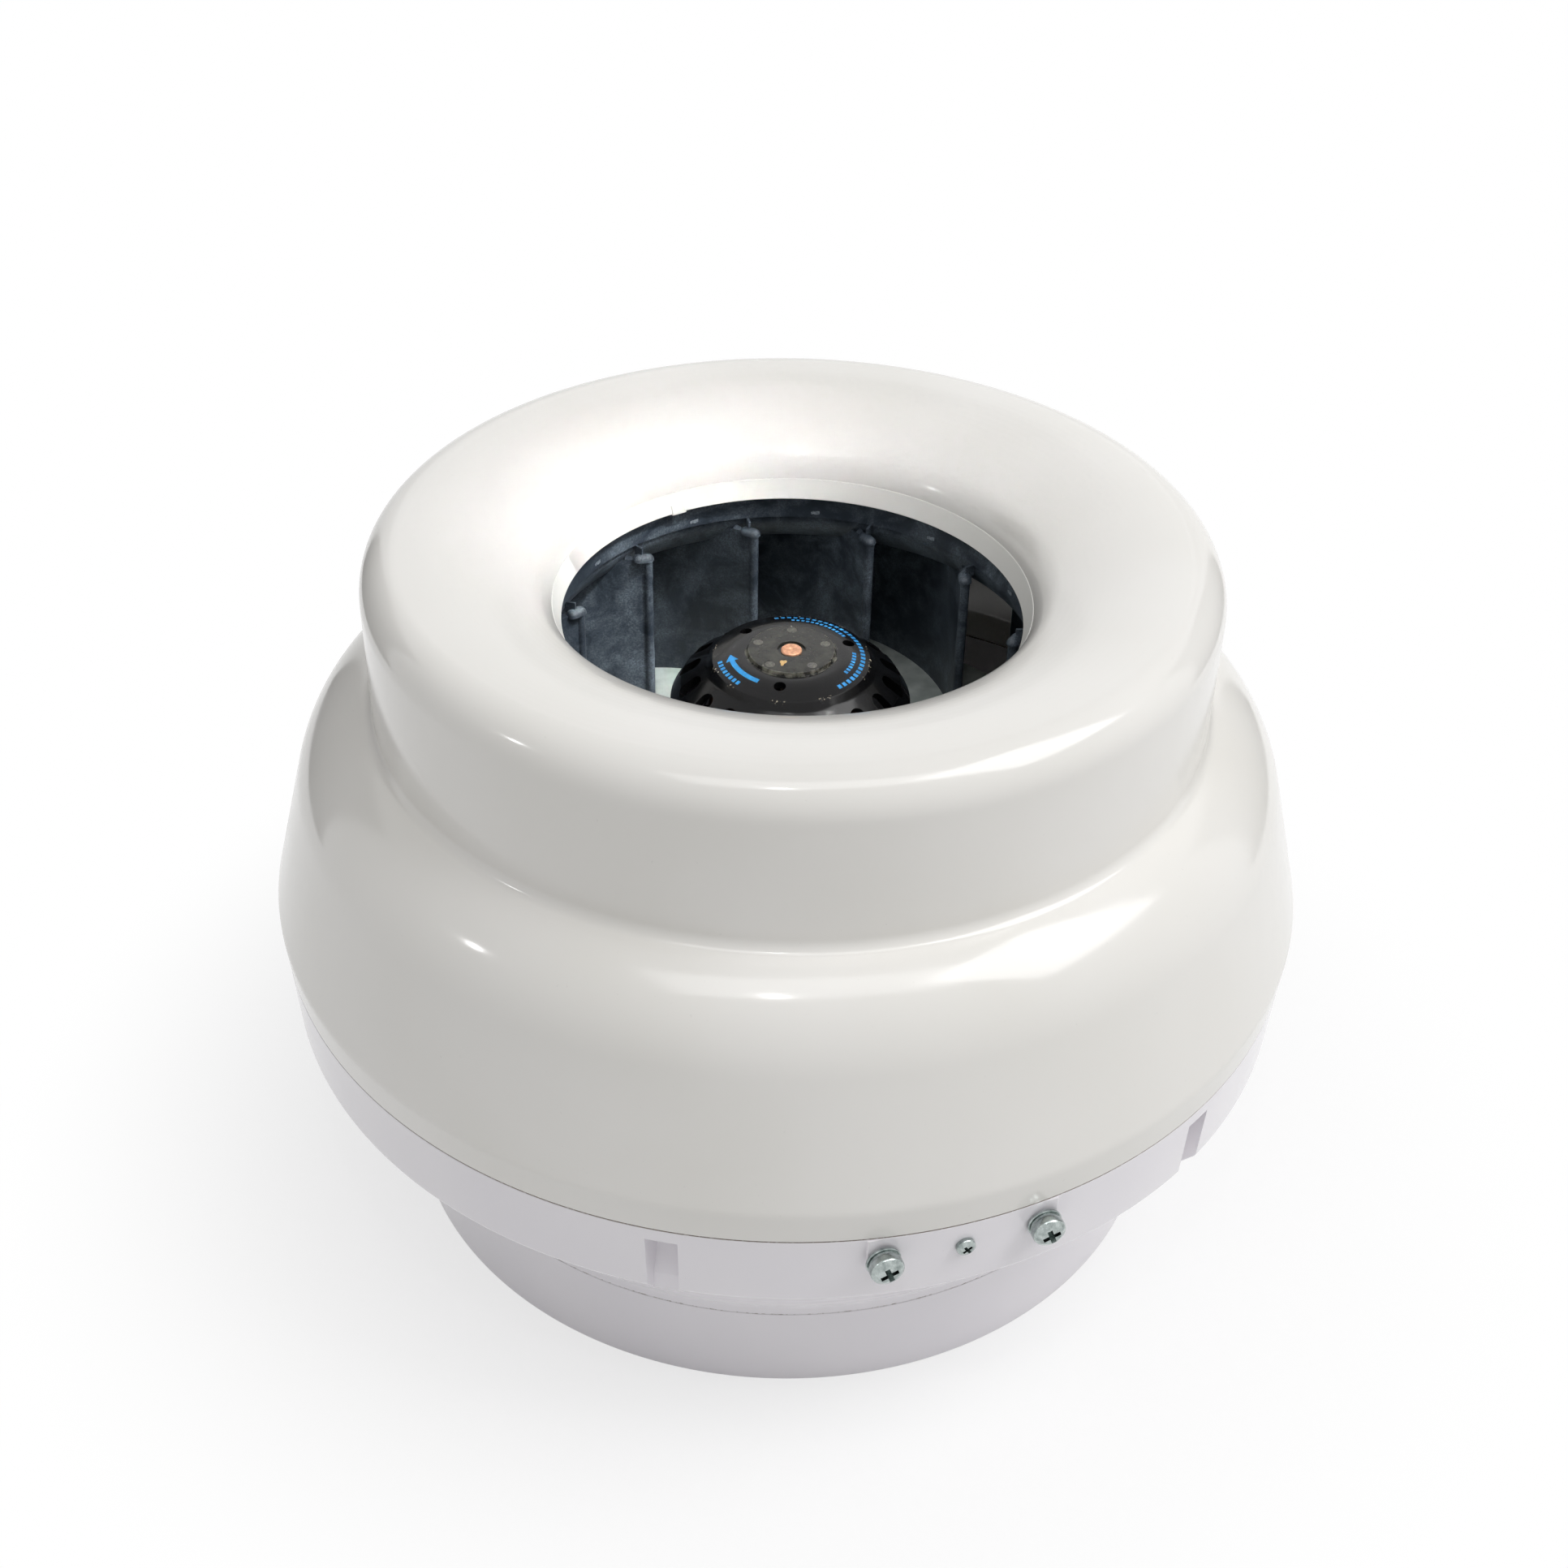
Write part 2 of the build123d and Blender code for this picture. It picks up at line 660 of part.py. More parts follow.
def rotor_cup():
    disc_z = cap_z + cap_disc_h
    hole = Pos(*polar(cap_r - cap_hole_in, 0), cap_z - 2 * rotor_wall)
    body = cup_body(0) + ring(0, cap_disc_r, cap_z - rotor_wall, disc_z)
    body -= cup_body(rotor_wall)
    body += ring(0, shaft_boss_r, cap_z - shaft_boss_depth, disc_z)
    body += ring(rotor_r - rotor_wall, flange_r, flange_low_z, flange_low_z + flange_t)
    body -= ring(0, shaft_r + running_clear / 2, cap_z - 2 * shaft_boss_depth, disc_z)
    body -= ring(0, shaft_r + counterbore[0], disc_z - counterbore[1], disc_z)
    body -= around(hole * rod(cap_hole_r, 3 * rotor_wall), cap_hole_count, cap_hole_start)
    body -= around(rotor_vent_cutter(), rotor_vents, rotor_vent_start)
    for x, y in rivet_spots():
        body -= Pos(x, y, flange_low_z) * rod(rivet_r + rivet_clear, flange_t)
    return body


def rotor_vent_cutter():
    """Round-ended slot at -Y, cut square to the slope and across the shoulder."""
    run, drop = shoulder_r - cap_r, cap_edge_z - shoulder_z
    share = (rotor_vent_in + rotor_vent_l / 2) / hypot(run, drop)
    middle = (0, -cap_r - share * run, cap_edge_z - share * drop)
    slope = Plane(origin=middle, x_dir=(0, -run, -drop), z_dir=(0, -drop, run))
    return slope * extrude(SlotOverall(rotor_vent_l, rotor_vent_w), 3 * rotor_wall, both=True)


def rotor_cage():
    outer = rotor_r - rotor_wall - running_clear / 2
    return ring(stator_r + air_gap, outer, stack_low_z, stack_top_z)


def rotor_shaft():
    low = hub_top_z + shaft_end_gap
    shaft = Pos(0, 0, low) * rod(shaft_r, cap_z + shaft_above - low)
    return chamfer(shaft.edges().group_by(Axis.Z)[-1], shaft_chamfer)


def rivet_spots():
    return [polar(rivet_pitch_r, 360 / rivet_count * i) for i in range(rivet_count)]


def impeller_rivets():
    low = flange_low_z - rivet_head_h
    head = rod(rivet_head_r, rivet_head_h)
    rivet = rod(rivet_r, back_plate_z - low + rivet_head_h) + head
    rivet += Pos(0, 0, back_plate_z - low) * head
    return [Pos(x, y, low) * rivet for x, y in rivet_spots()]


# ---- impeller -------------------------------------------------------------------------
def back_plate():
    plate = ring(rotor_r + running_clear, blade_r_out + rim_overhang,
                 back_plate_z - back_plate_t, back_plate_z)
    for x, y in rivet_spots():
        plate -= Pos(x, y, flange_low_z) * rod(rivet_r + rivet_clear, impeller_h)
    return plate


def blade_plan():
    """Arc of one blade in plan, starting at +X and sweeping outwards."""
    start = Vector(blade_r_in, 0)
    end = Vector(blade_r_out * cos(radians(blade_sweep)), blade_r_out * sin(radians(blade_sweep)))
    chord = end - start
    out = Vector(chord.Y, -chord.X).normalized()
    return ThreePointArc(start, (start + end) * 0.5 + out * blade_camber, end)


def shroud_outline(lift):
    """Meridian from the neck down to the shroud's rim, moved outwards by lift."""
    turn = radians(90 - shroud_slope)
    centre = (neck_r + shroud_round, neck_low_z)
    arc_r = shroud_round - lift
    knee = (centre[0] - arc_r * cos(turn), centre[1] - arc_r * sin(turn))
    rim_r = blade_r_out + rim_overhang
    rim = (rim_r, knee[1] - (rim_r - knee[0]) * tan(radians(shroud_slope)))
    return (neck_r + lift, neck_low_z), CenterArc(centre, arc_r, 180, 90 - shroud_slope), knee, rim


def impeller_shroud():
    """Conical shroud with the inlet ring that turns around the nozzle."""
    low_in, arc_in, knee_in, rim_in = shroud_outline(0)
    low_out, arc_out, knee_out, rim_out = shroud_outline(shroud_t)
    top_in, top_out = (low_in[0], neck_top_z), (low_out[0], neck_top_z)
    return spin([Line(top_in, low_in), arc_in, Line(knee_in, rim_in), Line(rim_in, rim_out),
                 Line(rim_out, knee_out), arc_out, Line(low_out, top_out), Line(top_out, top_in)])


def under_shroud():
    """Space between back plate and shroud that a blade fills."""
    low, arc, knee, rim = shroud_outline(weld * shroud_t)
    eye = blade_r_in - blade_bead_r - nub_r
    path = Polyline(rim, (rim[0], back_plate_z), (eye, back_plate_z), (eye, nub_z),
                    (low[0], nub_z), low)
    return spin([path, arc, Line(knee, rim)])


def impeller_blade():
    """Backward-curved blade with a bead along its leading edge and a nub above it."""
    plan = blade_plan()
    blade = extrude(trace(plan, blade_t), neck_top_z)
    blade += Pos(blade_r_in, 0, 0) * rod(blade_bead_r, neck_top_z)
    blade &= under_shroud()
    run = plan @ nub_share - plan @ 0
    nub = Plane(origin=(blade_r_in, 0, nub_z), z_dir=run) * rod(nub_r, run.length)
    return blade + [nub, Pos(blade_r_in, 0, nub_z) * Sphere(nub_r)]


def impeller_wheel():
    """Blades moulded in one piece with the shroud; the first stands at first_blade."""
    blade_at_front = Rot(0, 0, -90) * impeller_blade()
    return impeller_shroud() + around(blade_at_front, blade_count, first_blade)


# ---- fasteners ------------------------------------------------------------------------
def cross_recess(size, depth):
    bar = extrude(Rectangle(size, size / recess_bar), -depth)
    return bar + Rot(0, 0, 90) * bar


def pan_screw(head, shank_r, length):
    """Pan-head cross-recess screw; the head stands on the local XY plane."""
    d, h = head
    body = rod(d / 2, h)
    body = fillet(body.edges().group_by(Axis.Z)[-1], h * head_round)
    body -= Pos(0, 0, h) * cross_recess(d * recess_width, h * recess_depth)
    return body + Pos(0, 0, -length) * rod(shank_r, length)


def washer_stack():
    return plain_washer_t + spring_washer_t


def bracket_head_y():
    return pad_face_y() - bracket_standoff - washer_stack()


def bracket_screws():
    screw = pan_screw(m6_head, m6_r,
                      boss_depth + bracket_standoff + washer_stack() + bracket_overrun)
    return [frontwards(x, bracket_head_y(), bracket_z) * screw for x in bracket_xs()]


def bracket_washers():
    """A plain and a split spring washer under each bracket screw's head."""
    hole_r = m6_r + washer_clear
    split = block(0, 2 * spring_washer_r, -spring_washer_split / 2, spring_washer_split / 2,
                  0, spring_washer_t)
    spring = ring(hole_r, spring_washer_r, 0, spring_washer_t) - Rot(0, 0, 30) * split
    plain = ring(hole_r, plain_washer_r, 0, plain_washer_t)
    pieces = []
    for x in bracket_xs():
        seat = frontwards(x, pad_face_y() - bracket_standoff, bracket_z)
        pieces += [seat * plain, seat * Pos(0, 0, plain_washer_t) * spring]
    return pieces


def bracket_nuts():
    nut = hexagon(m6_nut[0], m6_nut[1] - shell_gap) - rod(m6_r + running_clear, m6_nut[1])
    return [frontwards(x, pad_face_y() + boss_depth, bracket_z) * nut for x in bracket_xs()]


def lock_screw():
    screw = pan_screw(lock_head, lock_r - shell_gap, lock_length)
    return frontwards(0, -band_outer_r(lock_z) - shell_gap, lock_z) * screw


def motor_screws():
    screw = pan_screw(motor_screw_head, motor_screw_r, hub_wall + base_t - motor_screw_short)
    plate_z = hub_top_z - hub_wall
    return [facing(x, y, plate_z, (0, 0, -1)) * screw for x, y in motor_screw_spots()]


# ---- terminal box ---------------------------------------------------------------------
def capacitor_y():
    """The capacitor lies on the box's inner wall, which follows the casing's flank."""
    back_r = max(spigot_r, flank_r(capacitor_z))
    return back_r + (capacitor_r + box_wall + 2 * shell_gap) * flank_slant()


def box_face_y():
    """Rim that the gasket lies on: outside the belly, and deep enough for the capacitor."""
    return max(belly_r + box_stand, capacitor_y() + capacitor_r + box_play)


def box_solid(inset, y0, y1):
    """Rounded block of the box's plan, seen along Y, drawn in by an inset."""
    corner = max(box_round - inset, shell_gap)
    face = RectangleRounded(box_w - 2 * inset, box_h - 2 * inset, corner)
    seen_from_back = Plane(origin=(0, y0, box_middle_z), x_dir=(1, 0, 0), z_dir=(0, 1, 0))
    return seen_from_back * extrude(face, y1 - y0)


def lid_screw_spots():
    dx = box_w / 2 - lid_screw_inset
    dz = box_h / 2 - lid_screw_inset
    return [(sx * dx, box_middle_z + sz * dz) for sx in (-1, 1) for sz in (-1, 1)]


def terminal_box():
    """Box that fits the casing's flank and band, open towards +Y, with four screw posts."""
    face_y = box_face_y()
    deep = spigot_r - 2 * wall
    cavity = box_solid(box_wall, deep, face_y) - lower_core(-shell_gap - box_wall)
    for x, z in lid_screw_spots():
        cavity -= backwards(x, deep, z) * rod(lid_boss_r, face_y - deep)
    body = box_solid(0, deep, face_y) - lower_core(-shell_gap) - cavity
    for x, z in lid_screw_spots():
        body -= backwards(x, face_y - lid_screw_l, z) * rod(lid_screw_r + lid_thread, lid_screw_l)
    return body - lead_hole() - gland_at(-box_w / 2) * rod(gland_r + shell_gap, box_w)


def box_gasket():
    lie = (box_face_y(), box_face_y() + gasket_t)
    return box_solid(gasket_in, *lie) - box_solid(gasket_in + gasket_w, *lie)


def box_lid():
    inner = box_face_y() + gasket_t
    sink_r, sink_depth = lid_sink
    lid = box_solid(0, inner, inner + lid_t)
    lid = fillet(lid.faces().sort_by(Axis.Y)[-1].edges(), lid_round)
    for x, z in lid_screw_spots():
        lid -= backwards(x, inner, z) * rod(lid_hole_r, lid_t)
        lid -= backwards(x, inner + lid_t - sink_depth, z) * rod(sink_r, lid_t)
    return lid


def lid_screws():
    seat = box_face_y() + gasket_t + lid_t - lid_sink[1]
    screw = pan_screw(lid_screw_head, lid_screw_r, lid_screw_l)
    return [backwards(x, seat, z) * screw for x, z in lid_screw_spots()]


def capacitor():
    """Run capacitor beside the terminal block."""
    can = facing(-post_reach, capacitor_y(), capacitor_z, (1, 0, 0))
    return fillet((can * rod(capacitor_r, capacitor_l)).edges(), capacitor_round)


def terminal_block():
    """Row of poles, each with a screw well above and a wire hole facing the lid."""
    w, d, h = block_size
    low = box_low_z + box_wall
    left, back = block_x - w / 2, box_face_y() - block_in + d / 2
    body = block(left, left + w, back - d, back, low, low + h)
    pitch = w / block_poles
    for i in range(block_poles):
        x = left + pitch * (i + 0.5)
        well = Pos(x, back - d / 2, low + h - block_screw_depth)
        body -= well * rod(pitch * block_screw_share, block_screw_depth)
        body -= block(x - block_wire_w / 2, x + block_wire_w / 2, back - block_wire_depth, back,
                      low + block_wire_z[0], low + block_wire_z[1])
    return body


def gland_at(distance):
    """Placement on the gland's axis, at a distance outside the box wall."""
    return facing(box_w / 2 + distance, box_face_y() - block_in, gland_z, (1, 0, 0))


def gland_body():
    stem = box_wall + locknut_l + stem_over
    length = stem + gland_body_l + gland_neck_l
    body = hexagon(gland_hex, gland_body_l)
    body += Pos(0, 0, -stem) * rod(gland_r, stem)
    body += Pos(0, 0, gland_body_l) * rod(gland_r - gland_neck_in, gland_neck_l)
    return gland_at(0) * (body - Pos(0, 0, -stem) * rod(gland_bore_r + seal_wall, length))


def gland_locknut():
    nut = hexagon(gland_hex, locknut_l) - rod(gland_r + running_clear, locknut_l)
    return gland_at(-box_wall - locknut_l) * nut


def gland_nut():
    """Round cap nut with grips, screwed over the gland's neck."""
    outer_r = gland_hex / 2
    body = rod(outer_r, gland_nut_l)
    body = fillet(body.edges().group_by(Axis.Z)[-1], gland_nut_round)
    grip = block(outer_r - gland_grip_depth, gland_hex, -gland_grip_w / 2, gland_grip_w / 2,
                 0, gland_nut_l - gland_grip_land)
    body -= around(grip, gland_grips)
    body -= rod(gland_r - gland_neck_in + running_clear, gland_neck_l + shell_gap)
    return gland_at(gland_body_l) * (body - rod(gland_bore_r + gland_mouth, gland_nut_l))


def gland_seal():
    tube = ring(gland_bore_r, gland_bore_r + seal_wall - running_clear, *seal_span)
    return gland_at(gland_body_l) * tube


# ---- assembly -------------------------------------------------------------------------
def main():
    os.makedirs("parts", exist_ok=True)
    save("upper_shell", upper_shell())
    save("lower_shell", lower_shell())
    save("inlet_nozzle", inlet_nozzle())
    save("outlet_spigot", outlet_spigot())
    save("guide_vanes", guide_vanes())
    save("motor_base", motor_base())
    save("bearing_outer_rings", *[bearing_outer(z) for z in bearing_spots()])
    save("bearing_inner_rings", *[bearing_inner(z) for z in bearing_spots()])
    save("stator_core", stator_core())
    save("stator_windings", *stator_windings())
    save("rotor_cup", rotor_cup())
    save("rotor_cage", rotor_cage())
    save("rotor_shaft", rotor_shaft())
    save("impeller_back_plate", back_plate())
    save("impeller_wheel", impeller_wheel())
    save("impeller_rivets", *impeller_rivets())
    save("motor_screws", *motor_screws())
    save("bracket_screws", *bracket_screws())
    save("bracket_washers", *bracket_washers())
    save("bracket_nuts", *bracket_nuts())
    save("shell_lock_screw", lock_screw())
    save("terminal_box", terminal_box())
    save("terminal_box_lid", box_lid())
    save("terminal_box_gasket", box_gasket())
    save("lid_screws", *lid_screws())
    save("terminal_block", terminal_block())
    save("run_capacitor", capacitor())
    save("gland_body", gland_body())
    save("gland_locknut", gland_locknut())
    save("gland_nut", gland_nut())
    save("gland_seal", gland_seal())


main()
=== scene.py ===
# %% [markdown]
# # An inline duct fan, dressed in Blender
# The solid model of the fan arrives as a fixed frame: every part at its real size and
# place, with one joint that lets the rotor spin. This file gives each part the surface
# and the fine shape that the eye expects. It could be painted straight onto the solid
# model, but that model is made of flat facets, and a glossy white casing shows every
# facet in its reflections. So the large parts are turned again here as smooth shells,
# each one replacing the plain solid that it stands for.

# %% Load the frame
import json
import random
from math import asin, atan2, cos, degrees, hypot, pi, radians, sin, sqrt, tan

import bmesh
import bpy
from mathutils import Matrix, Vector
from mathutils.bvhtree import BVHTree
from mathutils.interpolate import poly_3d_calc


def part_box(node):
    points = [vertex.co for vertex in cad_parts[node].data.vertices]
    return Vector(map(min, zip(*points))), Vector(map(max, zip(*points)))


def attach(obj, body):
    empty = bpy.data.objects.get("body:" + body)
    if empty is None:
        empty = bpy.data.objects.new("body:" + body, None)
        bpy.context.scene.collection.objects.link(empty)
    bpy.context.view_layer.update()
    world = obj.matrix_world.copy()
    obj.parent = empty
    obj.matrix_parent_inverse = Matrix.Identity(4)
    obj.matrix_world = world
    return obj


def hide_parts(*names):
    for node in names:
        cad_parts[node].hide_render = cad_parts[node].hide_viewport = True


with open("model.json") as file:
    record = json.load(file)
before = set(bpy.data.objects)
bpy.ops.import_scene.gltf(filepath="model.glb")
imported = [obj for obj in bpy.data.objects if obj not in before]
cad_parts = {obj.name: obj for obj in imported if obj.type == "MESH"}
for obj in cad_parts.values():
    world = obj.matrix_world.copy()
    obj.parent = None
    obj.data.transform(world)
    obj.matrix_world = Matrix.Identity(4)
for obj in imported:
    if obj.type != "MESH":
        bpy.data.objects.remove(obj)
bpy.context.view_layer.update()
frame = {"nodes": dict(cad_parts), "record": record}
MM = 0.001
print("frame nodes:", len(frame["nodes"]))

# %% [markdown]
# ## The camera
# The camera stands about 0.87 m from the middle of the fan and looks down on the inlet
# at some 38 degrees, a little to the left of the bracket screws. The lens is a plain one
# of the 50 mm class. A camera could be aimed with a Track To constraint or given a pasted
# matrix. Here it is set from a distance and a few angles, so that each of them can be
# understood and changed.

# %% Camera
CAMERA_REACH = 866.1       # from the aim point on the axis to the lens, mm
CAMERA_AIM_Z = 140.0       # half the height of the fan
CAMERA_ELEVATION = 37.784  # degrees above the horizontal
CAMERA_AZIMUTH = -18.55    # from -Y towards +X
CAMERA_PAN = 0.1157        # small turns that bring the fan into the frame, degrees
CAMERA_TILT = 1.4064
CAMERA_ROLL = -1.349
LENS = 49.383              # focal length for a sensor 36 mm wide


def make_camera():
    e, a = radians(CAMERA_ELEVATION), radians(CAMERA_AZIMUTH)
    turn = Matrix.Rotation(a, 3, "Z")
    place = turn @ Vector((0, -CAMERA_REACH * cos(e), CAMERA_AIM_Z + CAMERA_REACH * sin(e)))
    ahead, right = turn @ Vector((0, cos(e), -sin(e))), turn @ Vector((1, 0, 0))
    up = right.cross(ahead)
    pan = Matrix.Rotation(radians(CAMERA_PAN), 3, up)
    ahead, right = pan @ ahead, pan @ right
    tilt = Matrix.Rotation(radians(CAMERA_TILT), 3, right)
    ahead, up = tilt @ ahead, tilt @ up
    roll = Matrix.Rotation(radians(CAMERA_ROLL), 3, ahead)
    right, up = roll @ right, roll @ up
    data = bpy.data.cameras.new("camera")
    data.lens = LENS
    data.sensor_width = 36.0
    data.clip_start = 0.01
    camera = bpy.data.objects.new("camera", data)
    bpy.context.scene.collection.objects.link(camera)
    axes = Matrix((right, up, -ahead)).transposed().to_4x4()
    camera.matrix_world = Matrix.Translation(place * MM) @ axes
    bpy.context.scene.camera = camera
    return camera


camera = make_camera()
print("camera at", [round(v, 3) for v in camera.matrix_world.translation])

# %% [markdown]
# ## Sizes of the casing
# Four white mouldings stack up along the air path: the outlet spigot, the lower shell
# with its straight band, the upper shell with dome, collar and bellmouth, and the
# nozzle ring that leads the air into the impeller. Height and radii come from the solid
# model's boxes, so that they can't drift apart; the steps between them are named here.

# %% Casing sizes
WALL = 3.0                 # thickness of each moulding, mm
GAP = 0.2                  # joint between two mouldings
SPIGOT_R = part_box("outlet_spigot")[1][0] / MM
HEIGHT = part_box("upper_shell")[1][2] / MM
SEAM_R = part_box("lower_shell")[1][0] / MM
SEAM_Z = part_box("lower_shell")[1][2] / MM + GAP    # joint between the two shells
SLEEVE_RISE = 4.5          # the spigot's sleeve ends this far above its joint
JOINT_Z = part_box("outlet_spigot")[1][2] / MM - SLEEVE_RISE
SOCKET_Z = JOINT_Z + SLEEVE_RISE
BELLY_R, BELLY_Z = SEAM_R + 1.1, SEAM_Z + 13.3     # widest line of the casing
BAND_R, BAND_Z = SEAM_R - 1.6, SEAM_Z - 30.0       # foot of the straight band
COLLAR_Z = HEIGHT - 63.5                           # where dome and collar meet
SKIRT_SLOPE, DOME_SLOPE = 14.7, 72.0               # degrees that they lean inwards
BELLY_ROUND, DOME_ROUND, COLLAR_ROUND = 8.0, 40.0, 4.5
RIM_ROUND, RIM_LAND = 14.0, 0.5                    # rolled rim, flat before the bellmouth
THROAT_R, THROAT_ROUND = 88.5, 20.4
THROAT_TURN = 57.0         # degrees above the throat where wide and tight arc meet
SHELL_TURN = 14.0          # and where the nozzle ring takes over from the shell
print("casing radius", round(BELLY_R, 1), "height", round(HEIGHT, 1))

# %% [markdown]
# ## Materials
# Every material is built from nodes. One function turns a hex colour, as a paint chart
# gives it, into the linear light that the shader works in. Another adds a node, sets
# its values and wires it up. With those two, a material reads as a short recipe.

# %% Colours and nodes
def linear(code):
    """Hex colour, such as "#EDEBE6", as linear RGBA."""
    values = [int(code[i:i + 2], 16) / 255 for i in (1, 3, 5)]
    values = [v / 12.92 if v <= 0.04045 else ((v + 0.055) / 1.055) ** 2.4 for v in values]
    return (*values, 1.0)


def add(tree, kind, settings=None, **inputs):
    """Adds a node. Settings are its properties; an input is a value or another socket."""
    node = tree.nodes.new(kind)
    for name, value in (settings or {}).items():
        setattr(node, name, value)
    for name, value in inputs.items():
        key = int(name[1:]) if name[0] == "i" and name[1:].isdigit() else name.replace("_", " ")
        socket = node.inputs[key]
        if isinstance(value, bpy.types.NodeSocket):
            tree.links.new(value, socket)
        else:
            socket.default_value = value
    return node


def new_material(name):
    """Principled material; gives its tree, its shader and the Object coordinates too."""
    material = bpy.data.materials.new(name)
    material.use_nodes = True
    tree = material.node_tree
    tree.nodes.clear()
    shader = add(tree, "ShaderNodeBsdfPrincipled")
    out = add(tree, "ShaderNodeOutputMaterial")
    tree.links.new(shader.outputs[0], out.inputs[0])
    where = add(tree, "ShaderNodeTexCoord").outputs["Object"]
    return material, tree, shader, where


print("hex #808080 is", round(linear("#808080")[0], 3), "of full light")

# %% [markdown]
# ### Patterns and relief
# Worn and moulded surfaces are never even, so every finish here rests on noise of a real
# size in millimetres. A ramp turns the noise into tones or roughness, a mix lays one tone
# over another, and a bump bends the light a little. Anything deeper is modelled.

# %% Patterns and relief
def ramp(tree, factor, *stops):
    """Colour ramp from (position, colour) pairs; colours are grey levels or RGBA."""
    node = add(tree, "ShaderNodeValToRGB", Fac=factor)
    elements = node.color_ramp.elements
    while len(elements) < len(stops):
        elements.new(0.5)
    for element, (position, colour) in zip(elements, stops):
        element.position = position
        element.color = (colour, colour, colour, 1) if isinstance(colour, (int, float)) else colour
    return node.outputs["Color"]


def noise(tree, where, size_mm, detail=4.0, roughness=0.5):
    """Noise whose blobs are about size_mm across."""
    return add(tree, "ShaderNodeTexNoise", Vector=where, Scale=1 / (size_mm * MM),
               Detail=detail, Roughness=roughness).outputs["Fac"]


def mix(tree, factor, a, b, blend="MIX"):
    """Two colours mixed; each value may be a colour, a number or a socket."""
    node = add(tree, "ShaderNodeMix", {"data_type": "RGBA", "blend_type": blend})
    for index, value in ((0, factor), (6, a), (7, b)):
        if isinstance(value, bpy.types.NodeSocket):
            tree.links.new(value, node.inputs[index])
        else:
            node.inputs[index].default_value = value
    return node.outputs[2]


def bump(tree, shader, height, depth_mm, strength=1.0):
    """Slight relief; what shows as a form is modelled instead."""
    node = add(tree, "ShaderNodeBump", Height=height, Distance=depth_mm * MM, Strength=strength)
    tree.links.new(node.outputs[0], shader.inputs["Normal"])


print("a 24 mm pattern has scale", round(1 / (24 * MM), 1))

# %% [markdown]
# ### Casing: white ABS, injection moulded
# The casing is moulded in a polished tool, so it is glossy but never a mirror: long
# swells from cooling bend the reflections, and dust and finger marks dull the gloss in
# patches. Plain ABS has an IOR near 1.53. Light sinks a little into white plastic,
# which softens its edges. Grime settles in the joints between the mouldings as a thin
# brown line, whole at the shells and dotted at the spigot. The lower shell and the spigot
# come from another batch of granulate, a touch cooler in tone; their colour is also
# painted lighter, which makes up for the shade low on the casing. The nozzle ring is moulded
# in a plain tool and has a satin face, and its colour is painted a little lighter for the
# dim light in the throat. An image could carry the dust, but noises keep the finish sharp
# at any distance and need no unwrapping.

# %% Casing plastic
def near(tree, value, middle_mm, half_mm):
    """1 where a length in metres is at the middle, 0 once it is half_mm away."""
    away = add(tree, "ShaderNodeMath", {"operation": "SUBTRACT"}, i0=value, i1=middle_mm * MM)
    away = add(tree, "ShaderNodeMath", {"operation": "ABSOLUTE"}, i0=away.outputs[0])
    return add(tree, "ShaderNodeMapRange", Value=away.outputs[0], From_Min=half_mm * MM * 0.4,
               From_Max=half_mm * MM, To_Min=1.0, To_Max=0.0).outputs[0]


GRIMY_JOINTS = ((SEAM_Z, 0.3, 0.6), (JOINT_Z, 0.5, 0.15))    # height, gaps, least cover


def moulded_abs(name, colour, shade, rough_low, rough_high, joints=GRIMY_JOINTS):
    """White moulded plastic; joints lists the grimy ones by height."""
    material, tree, shader, where = new_material(name)
    swell = noise(tree, where, 70, 1.0)         # long waves of the cooled wall
    patch = noise(tree, where, 24, 5.0, 0.6)    # finger marks
    speck = noise(tree, where, 1.6, 2.0)        # dust, coarser than real so that it shows
    tint = mix(tree, ramp(tree, swell, (0.35, 0), (0.7, 1)), linear(colour), linear(shade))
    dust = ramp(tree, speck, (0.2, 0.82), (0.27, 1.0))
    tint = mix(tree, 0.35, tint, dust, "MULTIPLY")
    height = add(tree, "ShaderNodeSeparateXYZ", Vector=where).outputs["Z"]
    for joint, gaps, least in joints:
        line = mix(tree, 1.0, near(tree, height, joint - GAP / 2, 0.4),
                   ramp(tree, speck, (gaps, least), (gaps + 0.15, 1.0)), "MULTIPLY")
        tint = mix(tree, line, tint, linear("#8A7D71"))
    tree.links.new(tint, shader.inputs["Base Color"])
    tree.links.new(ramp(tree, patch, (0.3, rough_low), (0.75, rough_high)),
                   shader.inputs["Roughness"])
    shader.inputs["IOR"].default_value = 1.53
    shader.inputs["Subsurface Weight"].default_value = 0.05
    shader.inputs["Subsurface Radius"].default_value = (1.0, 0.95, 0.9)
    shader.inputs["Subsurface Scale"].default_value = 1.0 * MM
    bump(tree, shader, swell, 0.5, 0.35)
    return material


CASING = moulded_abs("abs_white_moulded_gloss", "#F0EEEA", "#ECEAE5", 0.1, 0.2)
# cooler tone of another batch, and painted lighter to make up for the shade low on the casing
CASING_COOL_PAINTED_LIGHTER = moulded_abs("abs_white_moulded_cool_painted_lighter", "#F7F4F8", "#F2EFF4", 0.12, 0.2)
CASING_CLEAN = moulded_abs("abs_white_moulded_clean", "#F0EDEA", "#ECE8E5", 0.12, 0.2, ())
# satin face; its colour is painted a little lighter for the dim light in the throat
NOZZLE = moulded_abs("abs_white_nozzle_satin_painted_lighter", "#F4F3EE", "#EFEEE9", 0.31, 0.35)
print("casing finishes:", CASING.name, CASING_COOL_PAINTED_LIGHTER.name, CASING_CLEAN.name, NOZZLE.name)

